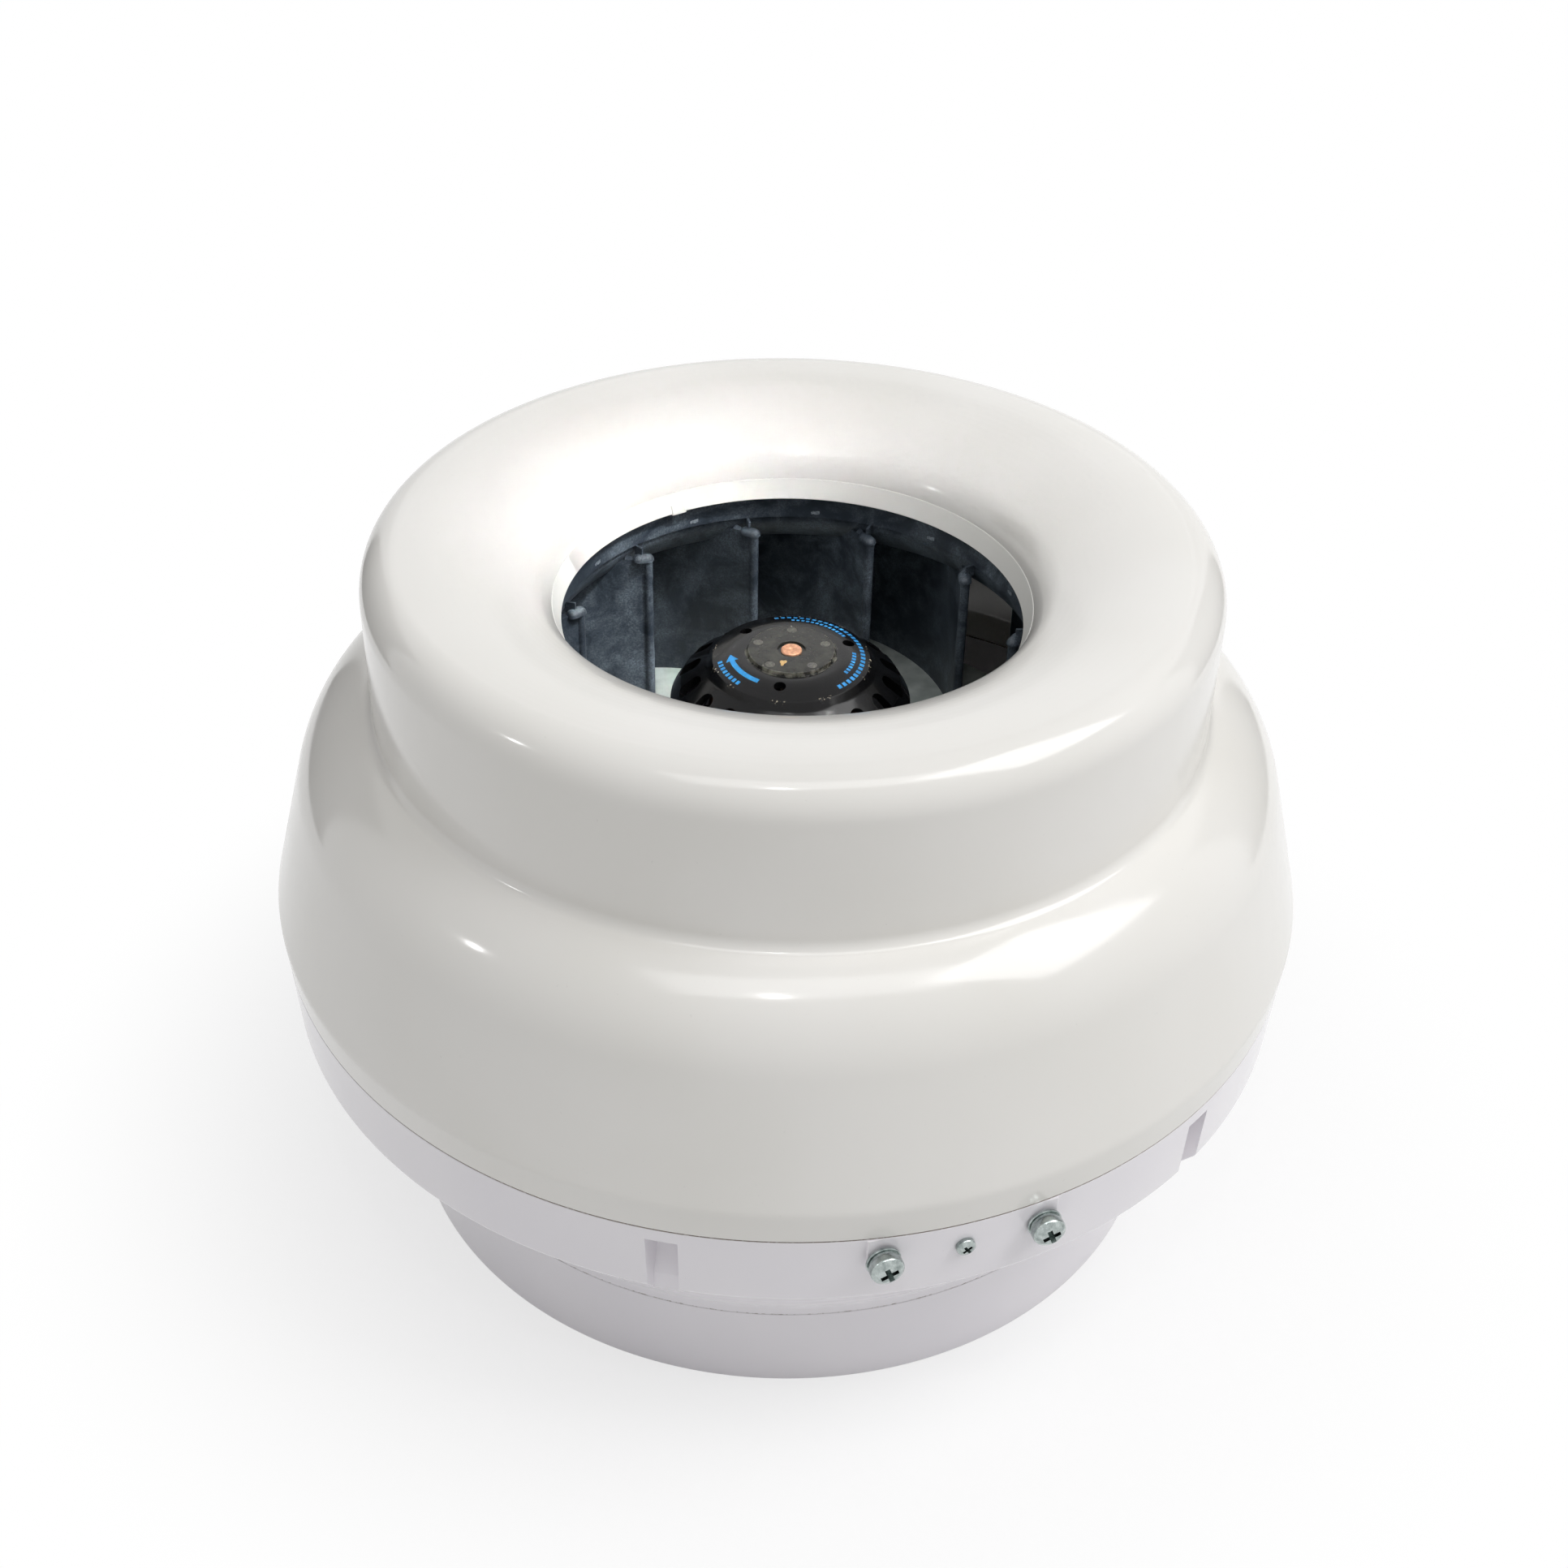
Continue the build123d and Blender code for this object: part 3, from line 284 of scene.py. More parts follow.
# %% [markdown]
# ### Impeller: blue-black glass-filled nylon
# Glass-filled nylon comes out of the tool with a dull skin, and airborne dust clings to
# it in cloudy scuffs. Noises of three sizes, from fine grain to broad patches, lay pale
# dust over a dark blue-grey. Painted weights could place the dust blade by blade, but the
# air spreads it without a plan, and so does noise.

# %% Impeller nylon
def glass_nylon():
    material, tree, shader, where = new_material("nylon_glass_filled_blue_black")
    cloud = add(tree, "ShaderNodeTexNoise", Vector=where, Scale=1 / (17 * MM), Detail=9.0,
                Roughness=0.68, Distortion=0.6).outputs["Fac"]
    grain = noise(tree, where, 0.8, 4.0, 0.75)    # of the fibres, coarser than real to show
    broad = noise(tree, where, 45, 2.0)
    dust = mix(tree, 1.0, ramp(tree, cloud, (0.41, 0.05), (0.7, 1)),
               ramp(tree, broad, (0.3, 0.45), (0.65, 1)), "MULTIPLY")
    haze = mix(tree, 1.0, dust, ramp(tree, grain, (0.4, 0.3), (0.65, 1)), "MULTIPLY")
    tint = mix(tree, haze, linear("#2A323C"), linear("#8E9BA7"))
    tree.links.new(tint, shader.inputs["Base Color"])
    tree.links.new(ramp(tree, cloud, (0.3, 0.34), (0.7, 0.52)), shader.inputs["Roughness"])
    shader.inputs["IOR"].default_value = 1.53
    shader.inputs["Specular IOR Level"].default_value = 0.4
    bump(tree, shader, grain, 0.05, 0.4)
    return material


IMPELLER = glass_nylon()
print("impeller finish:", IMPELLER.name)

# %% [markdown]
# ### Metals and small plastics
# The rest share one recipe: a cloud of two tones of the same material, a roughness that
# follows the cloud, and a slight relief. Zinc plating shows a bluish passivation, hot-dip
# zinc a dull flowered grey, laminations and castings a matt grey, dipped windings a dark
# brown. Metals keep the default IOR and take their colour from the base colour. The
# galvanised sheet and the shaft end are only partly metallic, since their dull zinc bloom
# and copper-coloured anti-rust film scatter more light than bare metal. The galvanised
# grey is also painted lighter than dull zinc, which makes up for the dim light inside the
# impeller. Plastics, ink and paint take the same recipe with no metal in it.

# %% Metals and small plastics
def clouded(name, dark, light, size_mm, rough_low, rough_high, bump_mm=0.05, metallic=1.0):
    """Two tones in a cloud of a given size, with a roughness that follows it."""
    material, tree, shader, where = new_material(name)
    spread = noise(tree, where, size_mm, 4.0, 0.55)
    tint = mix(tree, ramp(tree, spread, (0.3, 0), (0.7, 1)), linear(dark), linear(light))
    tree.links.new(tint, shader.inputs["Base Color"])
    tree.links.new(ramp(tree, spread, (0.3, rough_low), (0.7, rough_high)),
                   shader.inputs["Roughness"])
    shader.inputs["Metallic"].default_value = metallic
    bump(tree, shader, spread, bump_mm, 0.4)
    return material


ZINC = clouded("steel_zinc_plated_blue_passivated", "#858F8D", "#C3CBC9", 2.5, 0.14, 0.26, 0.01)
# painted lighter than dull zinc, to make up for the dim light inside the impeller
GALVANISED_PAINTED_LIGHTER = clouded("steel_hot_dip_galvanised_painted_lighter", "#BCC5C1", "#DCE3DF", 7, 0.45, 0.6, 0.05, 0.35)
CAST = clouded("aluminium_die_cast", "#8D8F90", "#B4B6B6", 3, 0.45, 0.65)
SHEETS = clouded("electrical_steel_laminations", "#4A4B4D", "#6A6A6C", 2, 0.4, 0.6)
COPPER = clouded("copper_wire_varnish_dipped", "#2C1710", "#4B2A1A", 1.2, 0.25, 0.45)
BEARING = clouded("bearing_steel_ground", "#B9BABD", "#DADBDD", 2, 0.12, 0.2)
SHAFT = clouded("steel_shaft_end_copper_bloom", "#B07B5C", "#E8B795", 1.4, 0.4, 0.65, 0.1, 0.6)
BLACK = clouded("nylon_black_moulded", "#141415", "#1D1D1F", 4, 0.38, 0.5, 0.05, 0.0)
GREY = clouded("nylon_grey_moulded", "#5C5E60", "#6C6E70", 4, 0.38, 0.5, 0.05, 0.0)
RUBBER = clouded("rubber_black_moulded", "#0D0D0D", "#191919", 3, 0.6, 0.8, 0.08, 0.0)
PRINT = clouded("ink_cyan_pad_printed", "#1583C9", "#35A3E4", 1.2, 0.4, 0.55, 0.02, 0.0)
SCAR = clouded("nylon_gate_scar_pale", "#5D6670", "#A3ACB5", 0.9, 0.4, 0.6, 0.05, 0.0)
SCUFFED = clouded("enamel_black_scuffed_pale", "#1B1B18", "#74736A", 0.9, 0.4, 0.6, 0.2, 0.0)
OCHRE = clouded("paint_ochre_dab", "#C79A5B", "#EBC98D", 1.0, 0.3, 0.45, 0.1, 0.0)
print("screws are", ZINC.name + ", the back plate is", GALVANISED_PAINTED_LIGHTER.name)

# %% [markdown]
# ### Rotor cup: black baked enamel
# The cup is a steel pressing, dipped and baked. The gloss is high on the slope. On the
# end face dust lies on the raised disc and along its edge, and handling has chipped the
# enamel along the outer edge in small pale spots. The masks are rings round the axis, so
# they need only the distance from the axis and the height. Vertex paint could place each
# chip, but it would need far more vertices than the form does.

# %% Rotor enamel
CAP_RISE = 68.4            # end face above the impeller's back plate
CAP_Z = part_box("impeller_back_plate")[1][2] / MM + CAP_RISE
CAP_R, CAP_DROP = 30.0, 2.6    # edge of the end face, and how far it lies below the middle
DISC_R, DISC_H = 16.5, 1.4     # raised disc round the shaft


def rotor_enamel():
    material, tree, shader, where = new_material("enamel_black_baked")
    flat = add(tree, "ShaderNodeMapping", Vector=where, Scale=(1, 1, 0))
    reach = add(tree, "ShaderNodeVectorMath", {"operation": "LENGTH"}, i0=flat.outputs[0])
    reach = reach.outputs["Value"]
    height = add(tree, "ShaderNodeSeparateXYZ", Vector=where).outputs["Z"]
    cloud = noise(tree, where, 5, 5.0, 0.6)
    speck = noise(tree, where, 0.9, 2.0)
    top = add(tree, "ShaderNodeMath", {"operation": "GREATER_THAN"}, i0=height,
              i1=(CAP_Z + 0.4) * MM).outputs[0]
    film = mix(tree, 1.0, top, ramp(tree, cloud, (0.3, 0.01), (0.75, 0.09)), "MULTIPLY")
    rim = mix(tree, 1.0, near(tree, reach, DISC_R + 0.4, 1.0),
              ramp(tree, cloud, (0.45, 0.0), (0.68, 0.4)), "MULTIPLY")
    dust = mix(tree, 1.0, film, rim, "ADD")
    tint = mix(tree, dust, linear("#0A0A0B"), linear("#A9A897"))
    edge = mix(tree, 1.0, near(tree, reach, CAP_R - 0.1, 0.8),
               near(tree, height, CAP_Z - CAP_DROP, 0.9), "MULTIPLY")
    patch = mix(tree, 1.0, edge, ramp(tree, noise(tree, where, 9, 1.0), (0.5, 0), (0.56, 1)),
                "MULTIPLY")
    chips = mix(tree, 1.0, patch, ramp(tree, speck, (0.58, 0), (0.62, 1)), "MULTIPLY")
    tint = mix(tree, chips, tint, linear("#C8BFA8"))
    tree.links.new(tint, shader.inputs["Base Color"])
    tree.links.new(ramp(tree, dust, (0.0, 0.16), (0.3, 0.5)), shader.inputs["Roughness"])
    shader.inputs["Specular IOR Level"].default_value = 0.25
    bump(tree, shader, cloud, 0.12, 0.3)
    return material


PAINT = rotor_enamel()
print("rotor finish:", PAINT.name)

# %% [markdown]
# ## Turning a part from its outline
# Most parts of the fan are turned: their outline is a few lines and arcs in a half
# plane, spun about the air axis. The Spin operator or a Screw modifier could do the
# turning. A plain grid of quads is used here, because the number of steps and the closing
# of the poles stay in view. First come the arcs: `arc` samples a circle, and `rounded`
# puts an arc into each corner of a polygon.

# %% Arcs and rounded corners
def arc(centre, radius, start, sweep, step=5.0):
    """Points on a circle in the (radius, height) plane; angles in degrees."""
    count = max(2, round(abs(sweep) / step))
    angles = [radians(start + sweep * i / count) for i in range(count + 1)]
    return [(centre[0] + radius * cos(a), centre[1] + radius * sin(a)) for a in angles]


def rounded(points, radii, step=None):
    """Polyline with an arc of the given radius at each inner corner.

    Without a step the arc gets a point every 1.2 mm or so, so large arcs stay smooth.
    """
    path = [points[0]]
    for before, here, after, radius in zip(points, points[1:], points[2:], radii):
        into = (Vector(here) - Vector(before)).normalized()
        away = (Vector(after) - Vector(here)).normalized()
        turn = atan2(into.x * away.y - into.y * away.x, into.dot(away))
        side = 1 if turn > 0 else -1
        first = Vector(here) - into * radius * tan(abs(turn) / 2)
        centre = first + Vector((-into.y, into.x)) * radius * side
        start = degrees(atan2(first.y - centre.y, first.x - centre.x))
        fine = step or min(9.0, degrees(1.2 / radius))
        path += arc(tuple(centre), radius, start, degrees(turn), fine)
    return path + [points[-1]]


print("a quarter circle of 40 mm gets", len(arc((0, 0), 40, 0, 90, 2.0)), "points")

# %% [markdown]
# ### Walls
# A moulding has the same wall everywhere. So its outer face is drawn, and `walled` adds
# the inner one. A Solidify modifier could do that on the finished mesh. On the outline it
# is exact at every corner, and the free edge gets its small bevel at once.

# %% Walls
EDGE = 0.35                # broken edge of a moulding, mm


def supported(path, close=0.7, far=14.0):
    """Adds a point close to both ends of long stretches, which keeps shading even."""
    out = [path[0]]
    for a, b in zip(path, path[1:]):
        length = hypot(b[0] - a[0], b[1] - a[1])
        marks = []
        if length > 4 * close:
            between = int(length / far)
            marks = [close] + [length * (i + 1) / (between + 1) for i in range(between)]
            marks.append(length - close)
        out += [(a[0] + (b[0] - a[0]) * m / length, a[1] + (b[1] - a[1]) * m / length)
                for m in marks]
        out.append(b)
    return out


def offset(path, distance):
    """Path moved to its left by a distance, with mitred corners."""
    moved = []
    for i, here in enumerate(path):
        before, after = path[max(i - 1, 0)], path[min(i + 1, len(path) - 1)]
        normals = []
        for a, b in ((before, here), (here, after)):
            if a != b:
                run = (Vector(b) - Vector(a)).normalized()
                normals.append(Vector((-run.y, run.x)))
        middle = sum(normals, Vector((0, 0))).normalized()
        reach = distance / max(middle.dot(normals[0]), 0.5)
        moved.append((here[0] + middle.x * reach, here[1] + middle.y * reach))
    return moved


def walled(corners, radii, wall, tail=()):
    """Closed outline of a moulded wall that lies to the left of its outer face.

    The face has rounded corners and may run on in a tail of arcs. A negative wall lies
    to the right. Each corner keeps its centre, so its radius changes by the wall.
    """
    inner_radii = []
    for a, b, c, radius in zip(corners, corners[1:], corners[2:], radii):
        left = (b[0] - a[0]) * (c[1] - b[1]) > (b[1] - a[1]) * (c[0] - b[0])
        inner_radii.append(max(radius - wall if left else radius + wall, 0.3))
    outer = rounded(corners, radii) + list(tail)
    inner = rounded(offset(corners, wall), inner_radii) + offset(list(tail), wall)
    first = Vector(outer[0])
    along = (Vector(outer[1]) - first).normalized() * EDGE
    across = (Vector(inner[0]) - first).normalized() * EDGE
    outer = [tuple(first + across), tuple(first + along)] + outer[1:]
    return supported(outer) + supported(inner)[::-1]


print("free edges are broken by", EDGE, "mm")

# %% [markdown]
# ### From outline to mesh
# An outline becomes a solid in two ways: spun about the axis, or pushed straight through
# as a prism. Both give closed meshes whose faces point outwards, which booleans, printing
# and a clean gloss all ask for.

# %% Mesh helpers
STEPS = 288                # facets round the axis; divides by 6, 8 and 18


def tidied(mesh):
    """Merges doubles and turns all faces outwards."""
    work = bmesh.new()
    work.from_mesh(mesh)
    bmesh.ops.remove_doubles(work, verts=work.verts, dist=1e-7)
    bmesh.ops.recalc_face_normals(work, faces=work.faces)
    work.to_mesh(mesh)
    work.free()
    return mesh


def plain_mesh(name, verts, faces):
    mesh = bpy.data.meshes.new(name)
    mesh.from_pydata(verts, [], faces)
    return tidied(mesh)


def lathe_mesh(name, outline, steps=STEPS):
    """Closed solid of revolution about Z from a closed outline in mm."""
    clean = [p for p, q in zip(outline, outline[1:] + outline[:1])
             if hypot(p[0] - q[0], p[1] - q[1]) > 1e-4]
    verts, rings = [], []
    for r, z in clean:
        if r < 1e-6:
            rings.append([len(verts)] * steps)
            verts.append((0, 0, z * MM))
            continue
        rings.append(list(range(len(verts), len(verts) + steps)))
        turns = [2 * pi * i / steps for i in range(steps)]
        verts += [(r * MM * cos(t), r * MM * sin(t), z * MM) for t in turns]
    faces = []
    for low, high in zip(rings, rings[1:] + rings[:1]):
        for i in range(steps):
            j = (i + 1) % steps
            quad = list(dict.fromkeys([low[i], low[j], high[j], high[i]]))
            if len(quad) > 2:
                faces.append(quad)
    return plain_mesh(name, verts, faces)


def prism_mesh(name, outline, low, high, place=None):
    """Extrudes an (x, y) outline in mm from low to high along Z, then places it."""
    count = len(outline)
    verts = [(x * MM, y * MM, z * MM) for z in (low, high) for x, y in outline]
    faces = [list(range(count))[::-1], list(range(count, 2 * count))]
    faces += [[i, (i + 1) % count, (i + 1) % count + count, i + count] for i in range(count)]
    mesh = bpy.data.meshes.new(name)
    mesh.from_pydata(verts, [], faces)
    if place is not None:
        mesh.transform(place)
    return tidied(mesh)


def joined(name, *meshes):
    """One mesh from several."""
    work = bmesh.new()
    for mesh in meshes:
        work.from_mesh(mesh)
    result = bpy.data.meshes.new(name)
    work.to_mesh(result)
    work.free()
    return result


print("a turned piece has", STEPS, "facets round the axis")

# %% [markdown]
# ### Finishing a piece
# A finished mesh gets its material and its body of the mechanism, and stands for nodes of
# the solid model. Edges sharper than 30 degrees stay crisp, all others are shaded smooth.
# Where a boolean has cut a turned form, it leaves long slivers, and normals averaged over
# them wrinkle the gloss. A Weighted Normal modifier helps a little. Better is to look up
# the normal on the uncut form, which `carry_normals` does for every corner.

# %% Finishing helpers
def carry_normals(mesh, turned_mesh, limit=35.0):
    """Gives what is left of a turned form, after cuts, the smooth normals it had before."""
    source = BVHTree.FromPolygons([v.co for v in turned_mesh.vertices],
                                  [p.vertices for p in turned_mesh.polygons])
    faces, corners = turned_mesh.polygons, turned_mesh.corner_normals
    points, same = turned_mesh.vertices, cos(radians(limit))
    normals = [None] * len(mesh.loops)
    for face in mesh.polygons:
        for loop in face.loop_indices:
            place = mesh.vertices[mesh.loops[loop].vertex_index].co
            best = same if face.area > 1e-8 else -1.0
            normals[loop] = face.normal
            for _, turned_normal, index, _ in source.find_nearest_range(place, 2e-6):
                if turned_normal.dot(face.normal) > best:
                    best = turned_normal.dot(face.normal)
                    under = faces[index]
                    shares = poly_3d_calc([points[v].co for v in under.vertices], place)
                    normals[loop] = sum((corners[i].vector * share for i, share in
                                         zip(under.loop_indices, shares)), Vector()).normalized()
    mesh.normals_split_custom_set(normals)


SHARP = 30.0               # degrees; edges sharper than this stay crisp


def shade(mesh, sharp=SHARP):
    """Smooth shading that stops at edges sharper than so many degrees."""
    mesh.shade_smooth()
    mesh.set_sharp_from_angle(angle=radians(sharp))


def finish_piece(name, mesh, material, body, nodes, sharp=SHARP):
    """Links a mesh as a finished piece that stands for the solid model's nodes."""
    mesh.materials.clear()
    mesh.materials.append(material)
    mesh.polygons.foreach_set("material_index", [0] * len(mesh.polygons))
    shade(mesh, sharp)
    piece = bpy.data.objects.new(name, mesh)
    bpy.context.scene.collection.objects.link(piece)
    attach(piece, body)
    if nodes:
        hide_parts(*nodes)
    print(f"{name}: {len(mesh.polygons)} faces")


print("edges stay crisp from", SHARP, "degrees")

# %% [markdown]
# ## Geometry Nodes for what repeats
# Blades, gate scars, vents, snap pockets and screws all repeat. Each is modelled once, and
# a small node tree sets the copies. An Array modifier round an empty could set them too,
# but a tree names its inputs and needs no empty. Every tree starts with its named inputs
# and ends in Realize Instances and Set Material, because an exported model can't hold
# instances.

# %% Start and end of a tree
def new_tree(name, *sockets):
    """Geometry Nodes tree with a geometry socket at each end and named inputs."""
    tree = bpy.data.node_groups.new(name, "GeometryNodeTree")
    tree.interface.new_socket("Geometry", in_out="OUTPUT", socket_type="NodeSocketGeometry")
    tree.interface.new_socket("Geometry", in_out="INPUT", socket_type="NodeSocketGeometry")
    for label, kind in sockets:
        tree.interface.new_socket(label, in_out="INPUT", socket_type="NodeSocket" + kind)
    return tree, add(tree, "NodeGroupInput").outputs


def end_tree(tree, geometry, material):
    """Makes the copies real, paints them and closes the tree."""
    real = add(tree, "GeometryNodeRealizeInstances", Geometry=geometry)
    painted = add(tree, "GeometryNodeSetMaterial", Geometry=real.outputs[0], Material=material)
    add(tree, "NodeGroupOutput", Geometry=painted.outputs[0])
    return tree


print("node groups so far:", len(bpy.data.node_groups))

# %% [markdown]
# ### Rings, rows and cuts
# `ring_of_copies` stands copies round the air axis and `row_of_copies` sets them in a
# row. `ring_of_cuts` takes a ring of cutters out of a part with one boolean, or welds
# them on. The copies of a ring all sit on the axis and only turn, so a cutter is drawn
# where it belongs, at +X.

# %% Rings, rows and cuts
def ring_points(tree, count, start):
    """Points on the axis and the turn about Z that each copy gets."""
    line = add(tree, "GeometryNodeMeshLine", Count=count, Offset=(0, 0, 0))
    share = add(tree, "ShaderNodeMath", {"operation": "DIVIDE"}, i0=2 * pi, i1=count)
    index = add(tree, "GeometryNodeInputIndex").outputs[0]
    angle = add(tree, "ShaderNodeMath", {"operation": "MULTIPLY_ADD"}, i0=index,
                i1=share.outputs[0], i2=start)
    turn = add(tree, "ShaderNodeCombineXYZ", Z=angle.outputs[0])
    return line.outputs[0], turn.outputs[0]


def ring_of_copies():
    """Copies of the mesh, evenly round the Z axis."""
    tree, inputs = new_tree("ring_of_copies", ("Count", "Int"), ("Start", "Float"),
                            ("Material", "Material"))
    points, turn = ring_points(tree, inputs["Count"], inputs["Start"])
    copies = add(tree, "GeometryNodeInstanceOnPoints", Points=points,
                 Instance=inputs["Geometry"], Rotation=turn)
    return end_tree(tree, copies.outputs[0], inputs["Material"])


def row_of_copies():
    """Copies of the mesh in a straight row."""
    tree, inputs = new_tree("row_of_copies", ("Count", "Int"), ("First", "Vector"),
                            ("Step", "Vector"), ("Material", "Material"))
    line = add(tree, "GeometryNodeMeshLine", Count=inputs["Count"],
               Start_Location=inputs["First"], Offset=inputs["Step"])
    copies = add(tree, "GeometryNodeInstanceOnPoints", Points=line.outputs[0],
                 Instance=inputs["Geometry"])
    return end_tree(tree, copies.outputs[0], inputs["Material"])


def ring_of_cuts(operation):
    """Boolean of the mesh with copies of a tool round the Z axis."""
    tree, inputs = new_tree("ring_of_" + operation.lower(), ("Tool", "Object"),
                            ("Count", "Int"), ("Start", "Float"), ("Material", "Material"))
    tool = add(tree, "GeometryNodeObjectInfo", Object=inputs["Tool"]).outputs["Geometry"]
    points, turn = ring_points(tree, inputs["Count"], inputs["Start"])
    copies = add(tree, "GeometryNodeInstanceOnPoints", Points=points, Instance=tool,
                 Rotation=turn)
    real = add(tree, "GeometryNodeRealizeInstances", Geometry=copies.outputs[0])
    cut = add(tree, "GeometryNodeMeshBoolean", {"operation": operation, "solver": "EXACT"})
    first = inputs["Geometry"]
    if operation == "DIFFERENCE":
        tree.links.new(first, cut.inputs["Mesh 1"])
    else:
        tree.links.new(first, cut.inputs["Mesh 2"])
    tree.links.new(real.outputs[0], cut.inputs["Mesh 2"])
    return end_tree(tree, cut.outputs[0], inputs["Material"])


RING, ROW = ring_of_copies(), row_of_copies()
CUT, WELD = ring_of_cuts("DIFFERENCE"), ring_of_cuts("UNION")
print("trees:", ", ".join(tree.name for tree in (RING, ROW, CUT, WELD)))

# %% [markdown]
# ### Running a tree
# A tree runs as a modifier on a passing object. Its inputs are set by the sockets'
# identifiers before Blender first evaluates it. The result is copied out as a plain mesh,
# and object and modifier go again, so that the scene keeps only finished pieces.

# %% Running a tree
def run_tree(tree, mesh, **values):
    """Runs a tree on a mesh and gives back its result as a plain mesh."""
    holder = bpy.data.objects.new("holder", mesh)
    bpy.context.scene.collection.objects.link(holder)
    modifier = holder.modifiers.new(tree.name, "NODES")
    modifier.node_group = tree
    for item in tree.interface.items_tree:
        if item.in_out == "INPUT" and item.name.lower() in values:
            modifier[item.identifier] = values[item.name.lower()]
    depsgraph = bpy.context.evaluated_depsgraph_get()
    result = bpy.data.meshes.new_from_object(holder.evaluated_get(depsgraph))
    holder.modifiers.remove(modifier)
    bpy.data.objects.remove(holder)
    return result


def cut_ring(mesh, tool_mesh, count, start, material, tree=CUT):
    """Takes a ring of tools out of a mesh, or with WELD adds them to it."""
    tool = bpy.data.objects.new("tool", tool_mesh)
    bpy.context.scene.collection.objects.link(tool)
    result = run_tree(tree, mesh, tool=tool, count=count, start=radians(start),
                      material=material)
    bpy.data.objects.remove(tool)
    return result


print("inputs of", RING.name + ":", [item.name for item in RING.interface.items_tree])

# %% [markdown]
# ## The casing
# ### Upper shell
# One moulding from the joint up over belly, dome and collar to the rolled rim, and down
# again into the bellmouth. The bellmouth is two arcs: a wide one from the rim and a
# tight one at the throat, tangent to each other. Subdivision of a rough cage would be
# quicker, but the flows of a duct fan are drawn with a compass, and so is this outline.

# %% Upper shell
def meet(p, slope_p, q, slope_q):
    """Crossing of two lines through p and q; slopes are degrees left of vertical."""
    ux, uz = -sin(radians(slope_p)), cos(radians(slope_p))
    vx, vz = -sin(radians(slope_q)), cos(radians(slope_q))
    t = ((q[0] - p[0]) * vz - (q[1] - p[1]) * vx) / (ux * vz - uz * vx)
    return (p[0] + t * ux, p[1] + t * uz)


def bellmouth():
    """Wide arc, tight arc, and the centre of the tight one."""
    mouth_r = SPIGOT_R - RIM_ROUND - RIM_LAND
    turn = radians(THROAT_TURN)
    wide = (mouth_r - THROAT_R - THROAT_ROUND * (1 - cos(turn))) / cos(turn)
    step = wide - THROAT_ROUND
    tight = (mouth_r - step * cos(turn), HEIGHT - wide + step * sin(turn))
    first = arc((mouth_r, HEIGHT - wide), wide, 90, 90 - THROAT_TURN, 2.0)
    second = arc(tight, THROAT_ROUND, 180 - THROAT_TURN, THROAT_TURN - SHELL_TURN)
    return first + second[1:], tight


def upper_outline():
    dome = meet((BELLY_R, BELLY_Z), SKIRT_SLOPE, (SPIGOT_R, COLLAR_Z), DOME_SLOPE)
    mouth = bellmouth()[0]
    corners = [(SEAM_R, SEAM_Z), (BELLY_R, BELLY_Z), dome, (SPIGOT_R, COLLAR_Z),
               (SPIGOT_R, HEIGHT), mouth[0]]
    return walled(corners, [BELLY_ROUND, DOME_ROUND, COLLAR_ROUND, RIM_ROUND], WALL, mouth[1:])


finish_piece("casing_upper_shell", lathe_mesh("upper", upper_outline()), CASING, "casing",
             ["upper_shell"])

# %% [markdown]
# ### Lower shell
# The band under the joint carries six snap pockets. A latch of the upper shell clicks
# into each from behind, so the pocket has a wall of its own that reaches into the
# casing. First the six walls are welded on, then the six hollows are cut. Two flat pads
# carry the bracket screws. Booleans are right here, because the real edges are crisp too.

# %% Lower shell outline
BAND_ROUND, STUB_ROUND = 2.5, 6.0      # where band meets foot, and foot meets stub


def lower_outline():
    corners = [(SEAM_R, SEAM_Z - GAP), (BAND_R, BAND_Z), (SPIGOT_R, SOCKET_Z),
               (SPIGOT_R, JOINT_Z)]
    return walled(corners, [BAND_ROUND, STUB_ROUND], -WALL)


turned_lower = lathe_mesh("lower", lower_outline())
print("lower shell before the cuts:", len(turned_lower.polygons), "faces")

# %% [markdown]
# #### Snap pockets
# A pocket is a wedge: deep at the top, where the latch sits, and shallow at the foot of
# the band, where the moulding tool slides out. The same wedge, grown by a wall, gives the
# pocket its walls. Its left wall leans in a little.

# %% Snap pockets
POCKETS, POCKET_W, POCKET_WALL = 6, 12.5, 2.2
POCKET_TOP_Z = SEAM_Z - 5.7
POCKET_DEPTH = (12.0, 6.0)     # into the band at the top and at its foot
POCKET_LEAN = (3.6, 2.0)       # how far the left wall leans in at the back, top and foot
POCKET_RUN_OUT = 12.0          # the cutter goes on this far below the band
BLOCK_BELOW = (8.0, 1.5)       # and its block this far, at the back and at the front
CUT_PAST = 4.0                 # a cutter reaches this far past the surface


